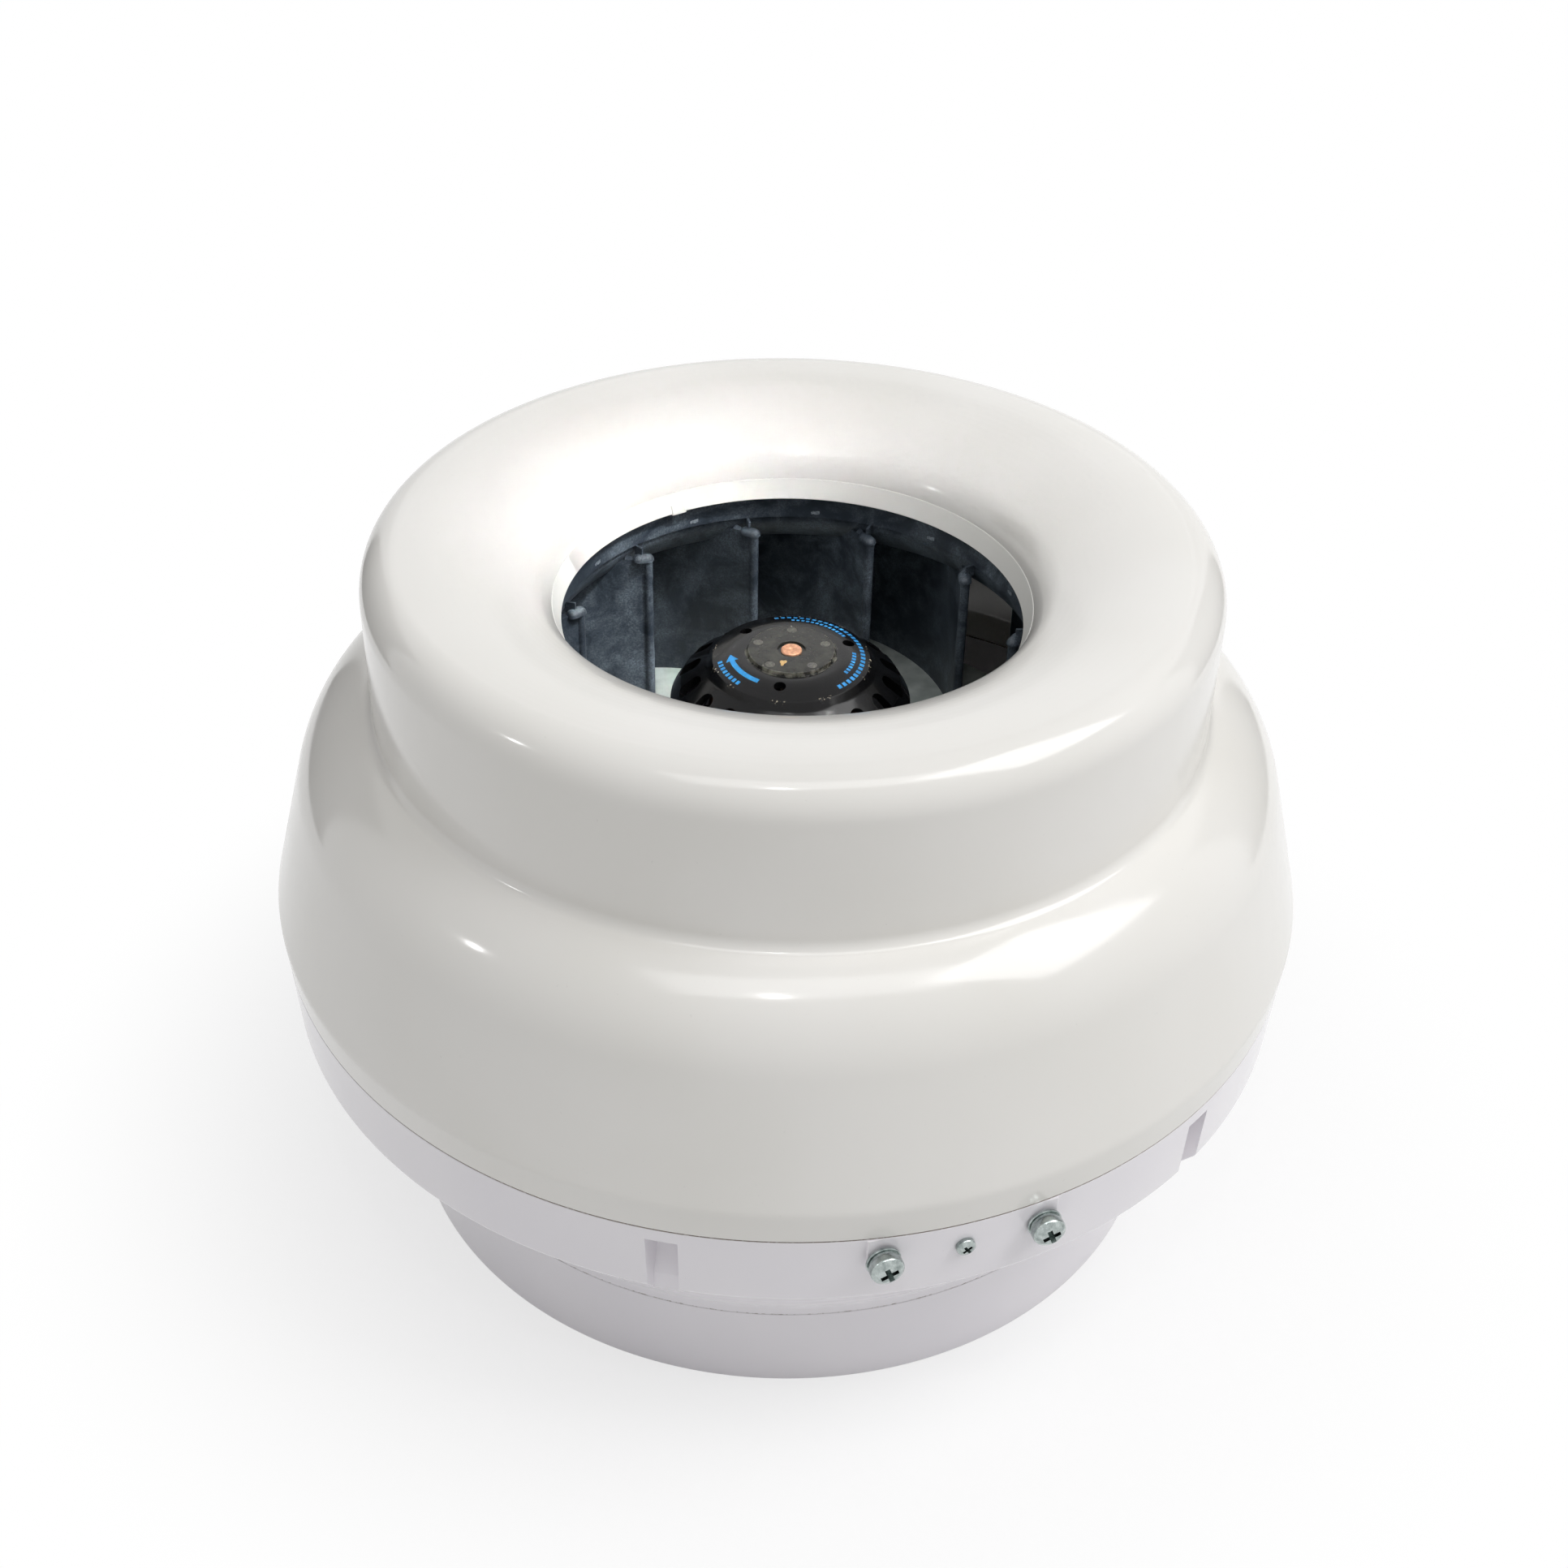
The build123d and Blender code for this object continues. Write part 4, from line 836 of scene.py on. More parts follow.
def pocket_mesh(grow):
    """Wedge at +X: the hollow, or with a wall to grow by, the block that it is cut from."""
    hollow = grow == 0
    outside = SEAM_R + CUT_PAST if hollow else BAND_R - WALL / 2
    foot_z = BAND_Z - (POCKET_RUN_OUT if hollow else BLOCK_BELOW[0])
    top, low = SEAM_R - POCKET_DEPTH[0] - grow, BAND_R - POCKET_DEPTH[1] - grow
    foot_out = outside if hollow else low
    corner_z = BAND_Z - (POCKET_RUN_OUT if hollow else BLOCK_BELOW[1])
    side = [(outside, POCKET_TOP_Z + grow), (top, POCKET_TOP_Z + grow), (low, BAND_Z),
            (low, foot_z), (foot_out, foot_z), (outside, corner_z)]
    half = POCKET_W / 2 + grow
    upright = Matrix.Rotation(radians(90), 4, "X")
    mesh = prism_mesh("pocket", list(dict.fromkeys(side)), -half, half, upright)
    for vertex in mesh.vertices:
        if vertex.co.y < 0 and vertex.co.x < (top + 1) * MM:
            vertex.co.y += POCKET_LEAN[0] * MM
        elif vertex.co.y < 0 and vertex.co.x < (low + 1) * MM:
            vertex.co.y += POCKET_LEAN[1] * MM
    return mesh


lower = cut_ring(turned_lower.copy(), pocket_mesh(POCKET_WALL), POCKETS, 0, CASING_COOL_PAINTED_LIGHTER, WELD)
print("with the pockets' walls:", len(lower.polygons), "faces")

# %% [markdown]
# #### Screw pads
# The band is round, but a screw's washer wants a flat seat. So a small pad with broken
# edges stands just proud of the band under each bracket screw. The pads go on before the
# hollows are cut, and then the turned form lends its normals to what is left of it.

# %% Screw pads and the finished lower shell
PAD_Z, PAD_X, PAD_W, PAD_RAISE = SEAM_Z - 9.9, 29.3, 10.5, 0.45
PAD_LINE_R = SEAM_R - 0.53     # the band's radius behind the pads
PAD_EDGE = ((0, WALL), (0, 0.4), (0.12, 0.12), (0.4, 0))    # inset and depth of its points
pad_y = sqrt(PAD_LINE_R ** 2 - PAD_X ** 2) + PAD_RAISE
for x in (-PAD_X, PAD_X):
    pad = [(x - PAD_W / 2 + inset, -pad_y + depth) for inset, depth in PAD_EDGE]
    pad += [(x + PAD_W / 2 - inset, -pad_y + depth) for inset, depth in PAD_EDGE[::-1]]
    pad = prism_mesh("pad", pad, PAD_Z - PAD_W / 2, SEAM_Z - GAP - 0.5)
    lower = cut_ring(lower, pad, 1, 0, CASING_COOL_PAINTED_LIGHTER, WELD)
lower = cut_ring(lower, pocket_mesh(0), POCKETS, 0, CASING_COOL_PAINTED_LIGHTER)
finish_piece("casing_lower_shell", lower, CASING_COOL_PAINTED_LIGHTER, "casing", ["lower_shell"])
shade(turned_lower)
carry_normals(lower, turned_lower)

# %% [markdown]
# ### Outlet spigot
# The spigot is a plain tube that plugs into the lower shell with a sleeve and leaves a
# fine joint. A ledge inside it carries the guide vanes. It is a pure turned form, so one
# outline describes it.

# %% Outlet spigot
LEDGE_Z, LEDGE_IN = 24.0, 6.0      # height of the ledge, and how far it stands in


def spigot_outline():
    inside = SPIGOT_R - WALL
    sleeve_out, sleeve_in = inside - GAP, inside - GAP - WALL
    ledge_r = sleeve_in - LEDGE_IN
    return [(inside, EDGE), (inside + EDGE, 0), (SPIGOT_R - EDGE, 0), (SPIGOT_R, EDGE),
            (SPIGOT_R, JOINT_Z - GAP - EDGE), (SPIGOT_R - EDGE, JOINT_Z - GAP),
            (sleeve_out, JOINT_Z - GAP), (sleeve_out, SOCKET_Z), (sleeve_in, SOCKET_Z),
            (sleeve_in, LEDGE_Z), (ledge_r, LEDGE_Z), (ledge_r, LEDGE_Z - WALL),
            (inside, LEDGE_Z - WALL - 6)]


finish_piece("casing_outlet_spigot", lathe_mesh("spigot", spigot_outline()), CASING_COOL_PAINTED_LIGHTER,
             "casing", ["outlet_spigot"])

# %% [markdown]
# ### Nozzle ring
# The nozzle ring clips into the throat and leads the air over the impeller's neck. Its
# lip is thin, and one small catch leans along its cone. The ring is turned. The catch is
# a prism with broken edges that is sheared, so that it follows the cone.

# %% Nozzle ring
NOZZLE_TIP_R = THROAT_R - 2.6
NOZZLE_TIP_Z = bellmouth()[1][1] - 3.0
NOZZLE_WALL, NOZZLE_SKIRT = 1.4, 3.6       # wall, and where its skirt starts above the tip
TIP_BREAK, CLIP_GAP = 0.4, 0.5             # rounded-off tip; play of the clip on the shell
CATCH_HALF, CATCH_BREAK = 3.2, (0.3, 0.25)
CATCH_IN, CATCH_OUT, CATCH_H = 85.45, 87.3, 3.5
CATCH_LEAN, CATCH_TURN = 0.41, 14.0        # run over rise; degrees from +Y


def nozzle_outline():
    tight = bellmouth()[1]
    turn = radians(SHELL_TURN)
    edge = (tight[0] - THROAT_ROUND * cos(turn), tight[1] + THROAT_ROUND * sin(turn))
    tip_r, tip_z, thin = NOZZLE_TIP_R, NOZZLE_TIP_Z, NOZZLE_WALL
    skirt_z = tip_z + NOZZLE_SKIRT
    out = (edge[0] + WALL * cos(turn), edge[1] - WALL * sin(turn) - 0.04)
    clip_r = out[0] + CLIP_GAP
    return [(tip_r + TIP_BREAK, tip_z), (tip_r + thin, tip_z), (edge[0] + 0.3, skirt_z),
            (clip_r + thin, skirt_z), (clip_r + thin, edge[1]), (clip_r, edge[1]),
            (clip_r, out[1]), out, (edge[0] + 0.1, edge[1] - 0.07),
            (edge[0] - 0.25, edge[1] - 0.2), (tip_r, tip_z + TIP_BREAK)]


def catch_mesh():
    wide, narrow = CATCH_HALF, CATCH_HALF - CATCH_BREAK[0]
    shoulder = CATCH_IN + CATCH_BREAK[1]
    plan = [(-narrow, CATCH_IN), (narrow, CATCH_IN), (wide, shoulder), (wide, CATCH_OUT),
            (-wide, CATCH_OUT), (-wide, shoulder)]
    mesh = prism_mesh("catch", plan, NOZZLE_TIP_Z - 0.1, NOZZLE_TIP_Z + CATCH_H)
    for vertex in mesh.vertices:
        vertex.co.y += CATCH_LEAN * max(vertex.co.z - NOZZLE_TIP_Z * MM, 0)
    mesh.transform(Matrix.Rotation(radians(CATCH_TURN), 4, "Z"))
    return mesh


nozzle = joined("nozzle", lathe_mesh("nozzle", nozzle_outline()), catch_mesh())
finish_piece("casing_nozzle_ring", nozzle, NOZZLE, "casing", ["inlet_nozzle"],
             25)

# %% [markdown]
# ## The impeller
# Eleven backward-curved blades are moulded in one piece with a conical shroud, whose
# neck turns around the nozzle. Blades that lean back against the spin are quiet and don't
# overload the motor. The sizes come first. The two heights are read from the solid model.

# %% Impeller sizes
BLADES = 11
BLADE_IN, BLADE_OUT = 84.0, 125.0          # radii of a blade's two ends
BLADE_SWEEP, BLADE_CAMBER = 39.0, 11.3     # degrees between them; height of its arc
BLADE_T, BEAD_R = 2.2, 1.9                 # thickness, and the bead on the inner end
FIRST_BLADE = -121.85                      # degrees from -Y
PLATE_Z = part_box("impeller_back_plate")[1][2] / MM
NECK_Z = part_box("impeller_wheel")[1][2] / MM
NECK_LOW_Z, NECK_R = NECK_Z - 8.0, THROAT_R + 0.1
NUB_Z, NUB_R, NUB_L = NECK_Z - 15.5, 2.6, 3.6
SHROUD_ROUND, SHROUD_SLOPE, SHROUD_T = 20.0, 30.0, 2.0
CREASE_Z, CREASE_STEP = NECK_LOW_Z - 3.0, 0.45
RIM_R = BLADE_OUT + 0.4
print("impeller radius", RIM_R, "from plate to neck", round(NECK_Z - PLATE_Z, 1))

# %% [markdown]
# ### Shroud
# The shroud is turned: a short upright neck, a bend, and a cone down to the rim. Inside
# the neck a faint step shows where the two halves of the moulding tool met. It catches
# the light as a fine line, so it is modelled and not painted.

# %% Shroud
def shroud_path(lift):
    """Meridian from the neck's top down to the rim, moved outwards by lift."""
    centre = (NECK_R + SHROUD_ROUND, NECK_LOW_Z)
    bend = arc(centre, SHROUD_ROUND - lift, 180, 90 - SHROUD_SLOPE, 5)
    knee = bend[-1]
    rim = (RIM_R, knee[1] - (RIM_R - knee[0]) * tan(radians(SHROUD_SLOPE)))
    return [(NECK_R + lift, NECK_Z)] + bend + [rim]


def shroud_outline():
    """Closed outline with the small step inside the neck."""
    below = [p for p in shroud_path(CREASE_STEP) if p[1] < CREASE_Z - 0.4]
    inner = [(NECK_R, NECK_Z), (NECK_R, CREASE_Z), (below[0][0], CREASE_Z - 0.3)] + below
    return inner + shroud_path(SHROUD_T)[::-1]


shroud = lathe_mesh("shroud", shroud_outline())
print("shroud:", len(shroud.polygons), "faces")

# %% [markdown]
# ### One blade
# A blade is a wall over a circular arc in plan, with a round bead on its inner end so
# that the air meets no sharp edge. Its top follows the shroud. It could be cut from a
# taller wall with a boolean. Asking for the shroud's height at each station is simpler,
# and it keeps clean quads along the curve.

# %% Blade
def blade_top(r):
    """Upper edge of a blade: level with the nub inside the neck, then under the shroud."""
    path = shroud_path(SHROUD_T / 2)[1:]    # half into the shroud's wall, where they fuse
    if r <= path[0][0]:
        return NUB_Z
    for a, b in zip(path, path[1:]):
        if r <= b[0]:
            return a[1] + (b[1] - a[1]) * (r - a[0]) / (b[0] - a[0])
    return path[-1][1]


BEAD_STEPS, BLADE_STEPS = 8, 22    # quads along the bead, and along the blade after it


def blade_stations():
    """Left and right edge points of the blade's plan, from its bead to its tip."""
    start = Vector((BLADE_IN, 0))
    end = Vector((cos(radians(BLADE_SWEEP)), sin(radians(BLADE_SWEEP)))) * BLADE_OUT
    chord = end - start
    out = Vector((chord.y, -chord.x)).normalized()
    radius = (chord.length_squared / 4 + BLADE_CAMBER ** 2) / (2 * BLADE_CAMBER)
    centre = (start + end) / 2 - out * (radius - BLADE_CAMBER)
    spread = 2 * asin(chord.length / 2 / radius)
    first = atan2(start.y - centre.y, start.x - centre.x)
    length = radius * spread
    bead_end = sqrt(BEAD_R ** 2 - (BLADE_T / 2) ** 2)
    places = [BEAD_R * -cos(radians(18 * i)) for i in range(BEAD_STEPS)] + [bead_end]
    places += [bead_end + (length - bead_end) * i / BLADE_STEPS
               for i in range(1, BLADE_STEPS + 1)]
    stations = []
    for s in places:
        half = sqrt(max(BEAD_R ** 2 - s * s, 0)) if s < bead_end else BLADE_T / 2
        a = first + s / radius
        normal = Vector((cos(a), sin(a)))
        middle = centre + normal * radius
        stations.append((middle - normal * half, middle + normal * half))
    return stations


def blade_mesh():
    verts, faces = [], []
    for left, right in blade_stations():
        for point in (left, right):
            top = blade_top(point.length)
            verts += [(point.x * MM, point.y * MM, PLATE_Z * MM),
                      (point.x * MM, point.y * MM, top * MM)]
    for i in range(0, len(verts) - 4, 4):
        left_low, left_top, right_low, right_top = range(i, i + 4)
        faces += [[left_low, left_low + 4, left_top + 4, left_top],
                  [right_low, right_top, right_top + 4, right_low + 4],
                  [left_top, left_top + 4, right_top + 4, right_top],
                  [left_low, right_low, right_low + 4, left_low + 4]]
    last = len(verts) - 4
    faces.append([last, last + 2, last + 3, last + 1])
    return plain_mesh("blade", verts, faces)


blade = blade_mesh()
print("one blade:", len(blade.polygons), "faces")

# %% [markdown]
# ### Nub and the ring of blades
# Above the bead of each blade sits a nub, a half-round bar with a thin rib up to the neck
# that stiffens the corner. The nub is turned from a short outline, laid along the blade
# and flattened underneath. Then the ring tree sets the eleven copies of blade and nub.
# Copies by hand would drift apart as soon as one blade is changed.

# %% Nub and impeller
NUB_SINK, NUB_FLAT = 0.8, 0.1              # into the blade's top; left below its middle
RIB_IN, RIB_OUT, RIB_HALF = 85.0, 89.2, 0.5


def nub_mesh():
    """Half-round bar on the blade's inner end, flat underneath, with a rib to the neck."""
    profile = [(0, -NUB_R)] + arc((0, 0), NUB_R, -90, 90, 15)[1:] + [(NUB_R, NUB_L)]
    profile += arc((0, NUB_L), NUB_R, 0, 90, 15)[1:-1] + [(0, NUB_L + NUB_R)]
    mesh = lathe_mesh("nub", profile, 28)
    stations = blade_stations()
    (left, right), (left_2, right_2) = stations[BEAD_STEPS], stations[BEAD_STEPS + 4]
    run = ((left_2 + right_2) - (left + right)).normalized()    # of the blade past its bead
    turn = Vector((0, 0, 1)).rotation_difference(Vector((run.x, run.y, 0)))
    mesh.transform(turn.to_matrix().to_4x4())
    for vertex in mesh.vertices:
        vertex.co.z = max(vertex.co.z, -NUB_FLAT * MM)
    mesh.transform(Matrix.Translation(Vector((BLADE_IN, 0, NUB_Z - NUB_SINK)) * MM))
    middle = Vector((BLADE_IN, 0)) + run * NUB_L * 0.6
    plan = [(RIB_IN, -RIB_HALF), (RIB_OUT, -RIB_HALF), (RIB_OUT, RIB_HALF), (RIB_IN, RIB_HALF)]
    rib = prism_mesh("rib", plan, NUB_Z, CREASE_Z,
                     Matrix.Rotation(atan2(middle.y, middle.x), 4, "Z"))
    return joined("nub", mesh, rib)


blades = run_tree(RING, joined("blade", blade, nub_mesh()), count=BLADES,
                  start=radians(FIRST_BLADE - 90), material=IMPELLER)
finish_piece("impeller_wheel_moulding", joined("impeller", shroud, blades), IMPELLER, "rotor",
             ["impeller_wheel"])

# %% [markdown]
# ### Gate scars
# The plastic entered the tool at eleven points inside the neck, and each gate left a
# torn, pale scar halfway between two blades. They could be painted as spots, but a torn
# chip stands proud and has a shadow. One irregular chip from a fixed random seed stands
# for all of them.

# %% Gate scars
rng = random.Random(7)
SCAR_TURN = 16.6           # degrees from a blade's inner end to the scar before it
SCAR_POINTS = ((-1.8, -0.5), (-0.6, -0.8), (0.5, -0.6), (1.7, -0.9), (1.9, 0.1), (0.9, 0.7),
               (0.2, 0.3), (-0.9, 0.8), (-2.0, 0.5))
scar = [(x + rng.uniform(-0.25, 0.25), z + rng.uniform(-0.2, 0.2)) for x, z in SCAR_POINTS]
to_neck = (Matrix.Translation(Vector((NECK_R, 0, NECK_LOW_Z - 0.6)) * MM)
           @ Matrix.Rotation(radians(90), 4, "Z") @ Matrix.Rotation(radians(90), 4, "X"))
scar = prism_mesh("scar", scar, -0.15, 0.3, to_neck)
scars = run_tree(RING, scar, count=BLADES, start=radians(FIRST_BLADE - SCAR_TURN - 90),
                 material=SCAR)
finish_piece("impeller_gate_scars", scars, SCAR, "rotor", [])

# %% [markdown]
# ### Back plate
# A stamped disc of galvanised sheet closes the impeller behind, riveted under the blades.
# The edge of a stamping is never razor sharp, so its outline has small chamfers at the
# rim that catch the light. A plain cylinder would do from afar.

# %% Back plate
PLATE_T, PLATE_BORE_R, PLATE_EDGE = 1.2, 46.05, 0.2
plate_low = PLATE_Z - PLATE_T
plate = [(PLATE_BORE_R, plate_low), (RIM_R - PLATE_EDGE, plate_low),
         (RIM_R, plate_low + PLATE_EDGE), (RIM_R, PLATE_Z - PLATE_EDGE),
         (RIM_R - PLATE_EDGE, PLATE_Z), (PLATE_BORE_R, PLATE_Z)]
# The disc's colour is painted lighter than the zinc, for the dim light inside the impeller.
finish_piece("impeller_back_disc", lathe_mesh("plate", plate), GALVANISED_PAINTED_LIGHTER, "rotor",
             ["impeller_back_plate"])

# %% [markdown]
# ## The motor's rotor
# The motor is an external-rotor type: its black cup turns with the impeller and is the
# first thing seen through the inlet. The end face has a raised disc with five faint spot
# welds, three balance holes, and a rounded drop to its edge. Eighteen cooling vents lie
# across the shoulder, so they show as slots from above and as gaps against the light.
# The cup is turned in one piece, and the ring tree makes the cuts, as a press would.

# %% Rotor cup
SHOULDER_R, ROTOR_R, ROTOR_T = 42.0, 46.0, 2.5
SHOULDER_Z, STEP_Z = CAP_Z - 13.0, CAP_Z - 20.0
FACE_FLAT_R = 22.2                         # the end face is flat up to here
SLOPE_R, SLOPE_DROP = 32.2, 5.6            # where the vented slope starts
CUP_ROUNDS = [0.35, 0.25, 20.0, 0.3, 5.0, 2.0, 2.5, 0.2]    # from the shaft outwards
SKIRT_BELOW, BOSS_BELOW = 9.0, 7.5         # below the plate, and below the end face
FLANGE_R, FLANGE_T = 60.0, 2.4             # flange that the back plate is riveted to
SHAFT_R, BORE_R, BORE_CLEAR = 4.0, 7.0, 0.03
COUNTERBORE, COUNTERBORE_H = 1.4, 0.8      # wider than the shaft by; and its depth


def cup_face():
    """Outline of the end face and the outside, from the shaft's counterbore outwards."""
    corners = [(SHAFT_R + COUNTERBORE, CAP_Z + DISC_H), (DISC_R, CAP_Z + DISC_H),
               (DISC_R + 0.5, CAP_Z), (FACE_FLAT_R, CAP_Z), (CAP_R, CAP_Z - CAP_DROP),
               (SLOPE_R, CAP_Z - SLOPE_DROP), (SHOULDER_R, SHOULDER_Z), (ROTOR_R, STEP_Z),
               (ROTOR_R, PLATE_Z - PLATE_T), (FLANGE_R, PLATE_Z - PLATE_T)]
    return rounded(corners, CUP_ROUNDS)


def face_height(r):
    """Height of the end face at a distance from the axis."""
    path = cup_face()
    for a, b in zip(path, path[1:]):
        if a[0] <= r <= b[0] and b[0] > a[0]:
            return a[1] + (b[1] - a[1]) * (r - a[0]) / (b[0] - a[0])
    return CAP_Z


def cup_outline():
    """The face and the outside, then back along the inside of the pressing."""
    flange_low, inside_r = PLATE_Z - PLATE_T - FLANGE_T, ROTOR_R - ROTOR_T
    disc_z, boss_low, skirt_low = CAP_Z + DISC_H, CAP_Z - BOSS_BELOW, PLATE_Z - SKIRT_BELOW
    inside = [(FLANGE_R, flange_low), (ROTOR_R, flange_low), (ROTOR_R, skirt_low),
              (inside_r, skirt_low), (inside_r, STEP_Z - ROTOR_T),
              (SHOULDER_R - ROTOR_T, SHOULDER_Z - ROTOR_T),
              (CAP_R - ROTOR_T, CAP_Z - CAP_DROP - ROTOR_T),
              (FACE_FLAT_R - ROTOR_T, CAP_Z - ROTOR_T),
              (BORE_R, CAP_Z - ROTOR_T), (BORE_R, boss_low), (SHAFT_R + BORE_CLEAR, boss_low),
              (SHAFT_R + BORE_CLEAR, disc_z - COUNTERBORE_H),
              (SHAFT_R + COUNTERBORE, disc_z - COUNTERBORE_H)]
    return cup_face() + inside


turned_cup = lathe_mesh("cup", cup_outline(), 144)
print("rotor cup before the cuts:", len(turned_cup.polygons), "faces")

# %% [markdown]
# ### Vents, balance holes and spot welds
# The press cuts the vents square to the slope, so the tool stands square to it too and
# takes the shoulder along. The balance holes go straight down. The welds between disc and
# cup leave five faint pale spots, which are small turned pieces of their own.

# %% Vents, holes and welds
VENTS, FIRST_VENT = 18, 4.0                # turns are in degrees from -Y
VENT_IN, VENT_L, VENT_W = 7.0, 11.0, 6.5   # start on the slope, length and width
VENT_CUT = 7.5                             # half the height of the tool that cuts a vent
HOLES, FIRST_HOLE, HOLE_AT_R, HOLE_R = 3, 91.4, 23.0, 2.3
HOLE_CUT = (-6.0, 3.0)                     # its tool runs from below the end face to above
WELDS, FIRST_WELD, WELD_AT_R, WELD_R = 5, -54.5, 13.4, 2.0


def vent_tool():
    """Round-ended slot at +X, square to the slope and across the shoulder."""
    half, reach = VENT_W / 2, (VENT_L - VENT_W) / 2
    plan = [(reach + half * cos(radians(a)), half * sin(radians(a))) for a in range(-90, 91, 15)]
    plan += [(-x, -y) for x, y in plan]
    run, drop = SHOULDER_R - CAP_R, CAP_Z - CAP_DROP - SHOULDER_Z
    share = (VENT_IN + VENT_L / 2) / hypot(run, drop)
    middle = Vector((CAP_R + share * run, 0, CAP_Z - CAP_DROP - share * drop)) * MM
    place = Matrix.Translation(middle) @ Matrix.Rotation(atan2(drop, run), 4, "Y")
    return prism_mesh("vent", plan, -VENT_CUT, VENT_CUT, place)


cup = cut_ring(turned_cup, vent_tool(), VENTS, FIRST_VENT - 90, PAINT)
hole_low, hole_high = (CAP_Z + past for past in HOLE_CUT)
hole = [(0, hole_low), (HOLE_R, hole_low), (HOLE_R, hole_high), (0, hole_high)]
hole = lathe_mesh("hole", hole, 24)
hole.transform(Matrix.Translation((HOLE_AT_R * MM, 0, 0)))
cup = cut_ring(cup, hole, HOLES, FIRST_HOLE - 90, PAINT)
finish_piece("motor_rotor_cup", cup, PAINT, "rotor", ["rotor_cup"], 24)
disc_z = CAP_Z + DISC_H
weld = [(0, disc_z - 0.2), (WELD_R, disc_z - 0.2), (WELD_R - 0.1, disc_z + 0.02),
        (1.2, disc_z + 0.12), (0, disc_z + 0.05)]
weld = lathe_mesh("weld", weld, 24)
weld.transform(Matrix.Translation((WELD_AT_R * MM, 0, 0)))
welds = run_tree(RING, weld, count=WELDS, start=radians(FIRST_WELD - 90), material=SCUFFED)
finish_piece("motor_spot_welds", welds, SCUFFED, "rotor", [])

# %% [markdown]
# ### Marks on the end face
# Such a motor carries pad-printed marks in cyan. Here they are plain ones: an arrow for
# the turning direction and rows of ticks. Pad printing lays ink on a curved face, so
# each mark is a thin slab that follows the face's height. A text or an image could be
# projected instead, but slabs stay sharp and come along when the mesh is exported.

# %% Marks
INK_FROM, INK_TO = -0.12, 0.05    # a mark's underside and top over the face, mm
INK_STEP, INK_ACROSS = 2.5, 3     # degrees between its points, and quads across it


def slab(name, first_deg, last_deg, inner, outer):
    """Thin mark between two angles from -Y; its radii are functions of the way along."""
    steps = max(1, round(abs(last_deg - first_deg) / INK_STEP))
    verts, faces, across = [], [], INK_ACROSS
    for i in range(steps + 1):
        share = i / steps
        a = radians(first_deg + (last_deg - first_deg) * share - 90)
        low, high = inner(share), outer(share)
        for k in range(across + 1):
            r = low + (high - low) * k / across
            for lift in (INK_FROM, INK_TO):
                verts.append(Vector((r * cos(a), r * sin(a), face_height(r) + lift)) * MM)
    row = 2 * (across + 1)
    for i in range(steps):
        for k in range(across):
            a, b = i * row + 2 * k, (i + 1) * row + 2 * k
            faces += [[a, a + 2, b + 2, b], [a + 1, b + 1, b + 3, a + 3]]
        a, b = i * row, (i + 1) * row
        faces += [[a, b, b + 1, a + 1], [a + row - 2, a + row - 1, b + row - 1, b + row - 2]]
    for start in (0, steps * row):
        for k in range(across):
            a = start + 2 * k
            faces.append([a, a + 1, a + 3, a + 2])
    return plain_mesh(name, verts, faces)


TICK_ROWS = (    # radius and half height in mm; first, last, pitch and length in degrees
    (27.2, 0.85, 22, 182, 5.2, 3.2),
    (23.8, 0.75, 40, 78, 4.6, 2.8),
    (23.8, 0.75, 104, 168, 4.6, 2.8),
    (27.4, 0.85, -98, -60, 4.6, 2.8),
)
marks = []
for middle, half, first, last, pitch, length in TICK_ROWS:
    for i in range(int((last - first) / pitch)):
        marks.append(slab("tick", first + i * pitch, first + i * pitch + length,
                          lambda t, r=middle - half: r, lambda t, r=middle + half: r))
ARROW_R, ARROW_HALF, TAIL_HALF, POINT_HALF = 23.05, 2.3, 0.95, 0.05
marks.append(slab("arrow_tail", -93, -50, lambda t: ARROW_R - TAIL_HALF,
                  lambda t: ARROW_R + TAIL_HALF))
marks.append(slab("arrow_head", -103, -93, lambda t: ARROW_R - ARROW_HALF * t - POINT_HALF,
                  lambda t: ARROW_R + ARROW_HALF * t + POINT_HALF))
finish_piece("motor_cyan_marks", joined("marks", *marks), PRINT, "rotor", [])

# %% [markdown]
# ### Paint dab and shaft end
# A dab of paint beside the shaft is the balancer's sign that the rotor has been through
# the machine. A turned drop becomes a dab when its radius swells and shrinks round the
# edge. The shaft end has a broken edge and the small centre mark of the lathe.

# %% Paint dab and shaft end
DAB_R, DAB_TURN, DAB_AT_R = 1.5, -36.4, 10.0
DAB_LOBES, DAB_UNEVEN, DAB_STRETCH = 3, 0.28, (1.25, 0.8)
dab = [(0, disc_z - 0.1), (DAB_R, disc_z - 0.1), (DAB_R - 0.2, disc_z + 0.15),
       (0.6, disc_z + 0.35), (0, disc_z + 0.4)]
dab = lathe_mesh("dab", dab, 24)
for vertex in dab.vertices:
    swell = 1 + DAB_UNEVEN * sin(DAB_LOBES * atan2(vertex.co.y, vertex.co.x) + 1)
    vertex.co.x *= swell * DAB_STRETCH[0]
    vertex.co.y *= swell * DAB_STRETCH[1]
dab.transform(Matrix.Rotation(radians(DAB_TURN - 90), 4, "Z")
              @ Matrix.Translation((DAB_AT_R * MM, 0, 0)))
finish_piece("motor_paint_dab", dab, OCHRE, "rotor", [])

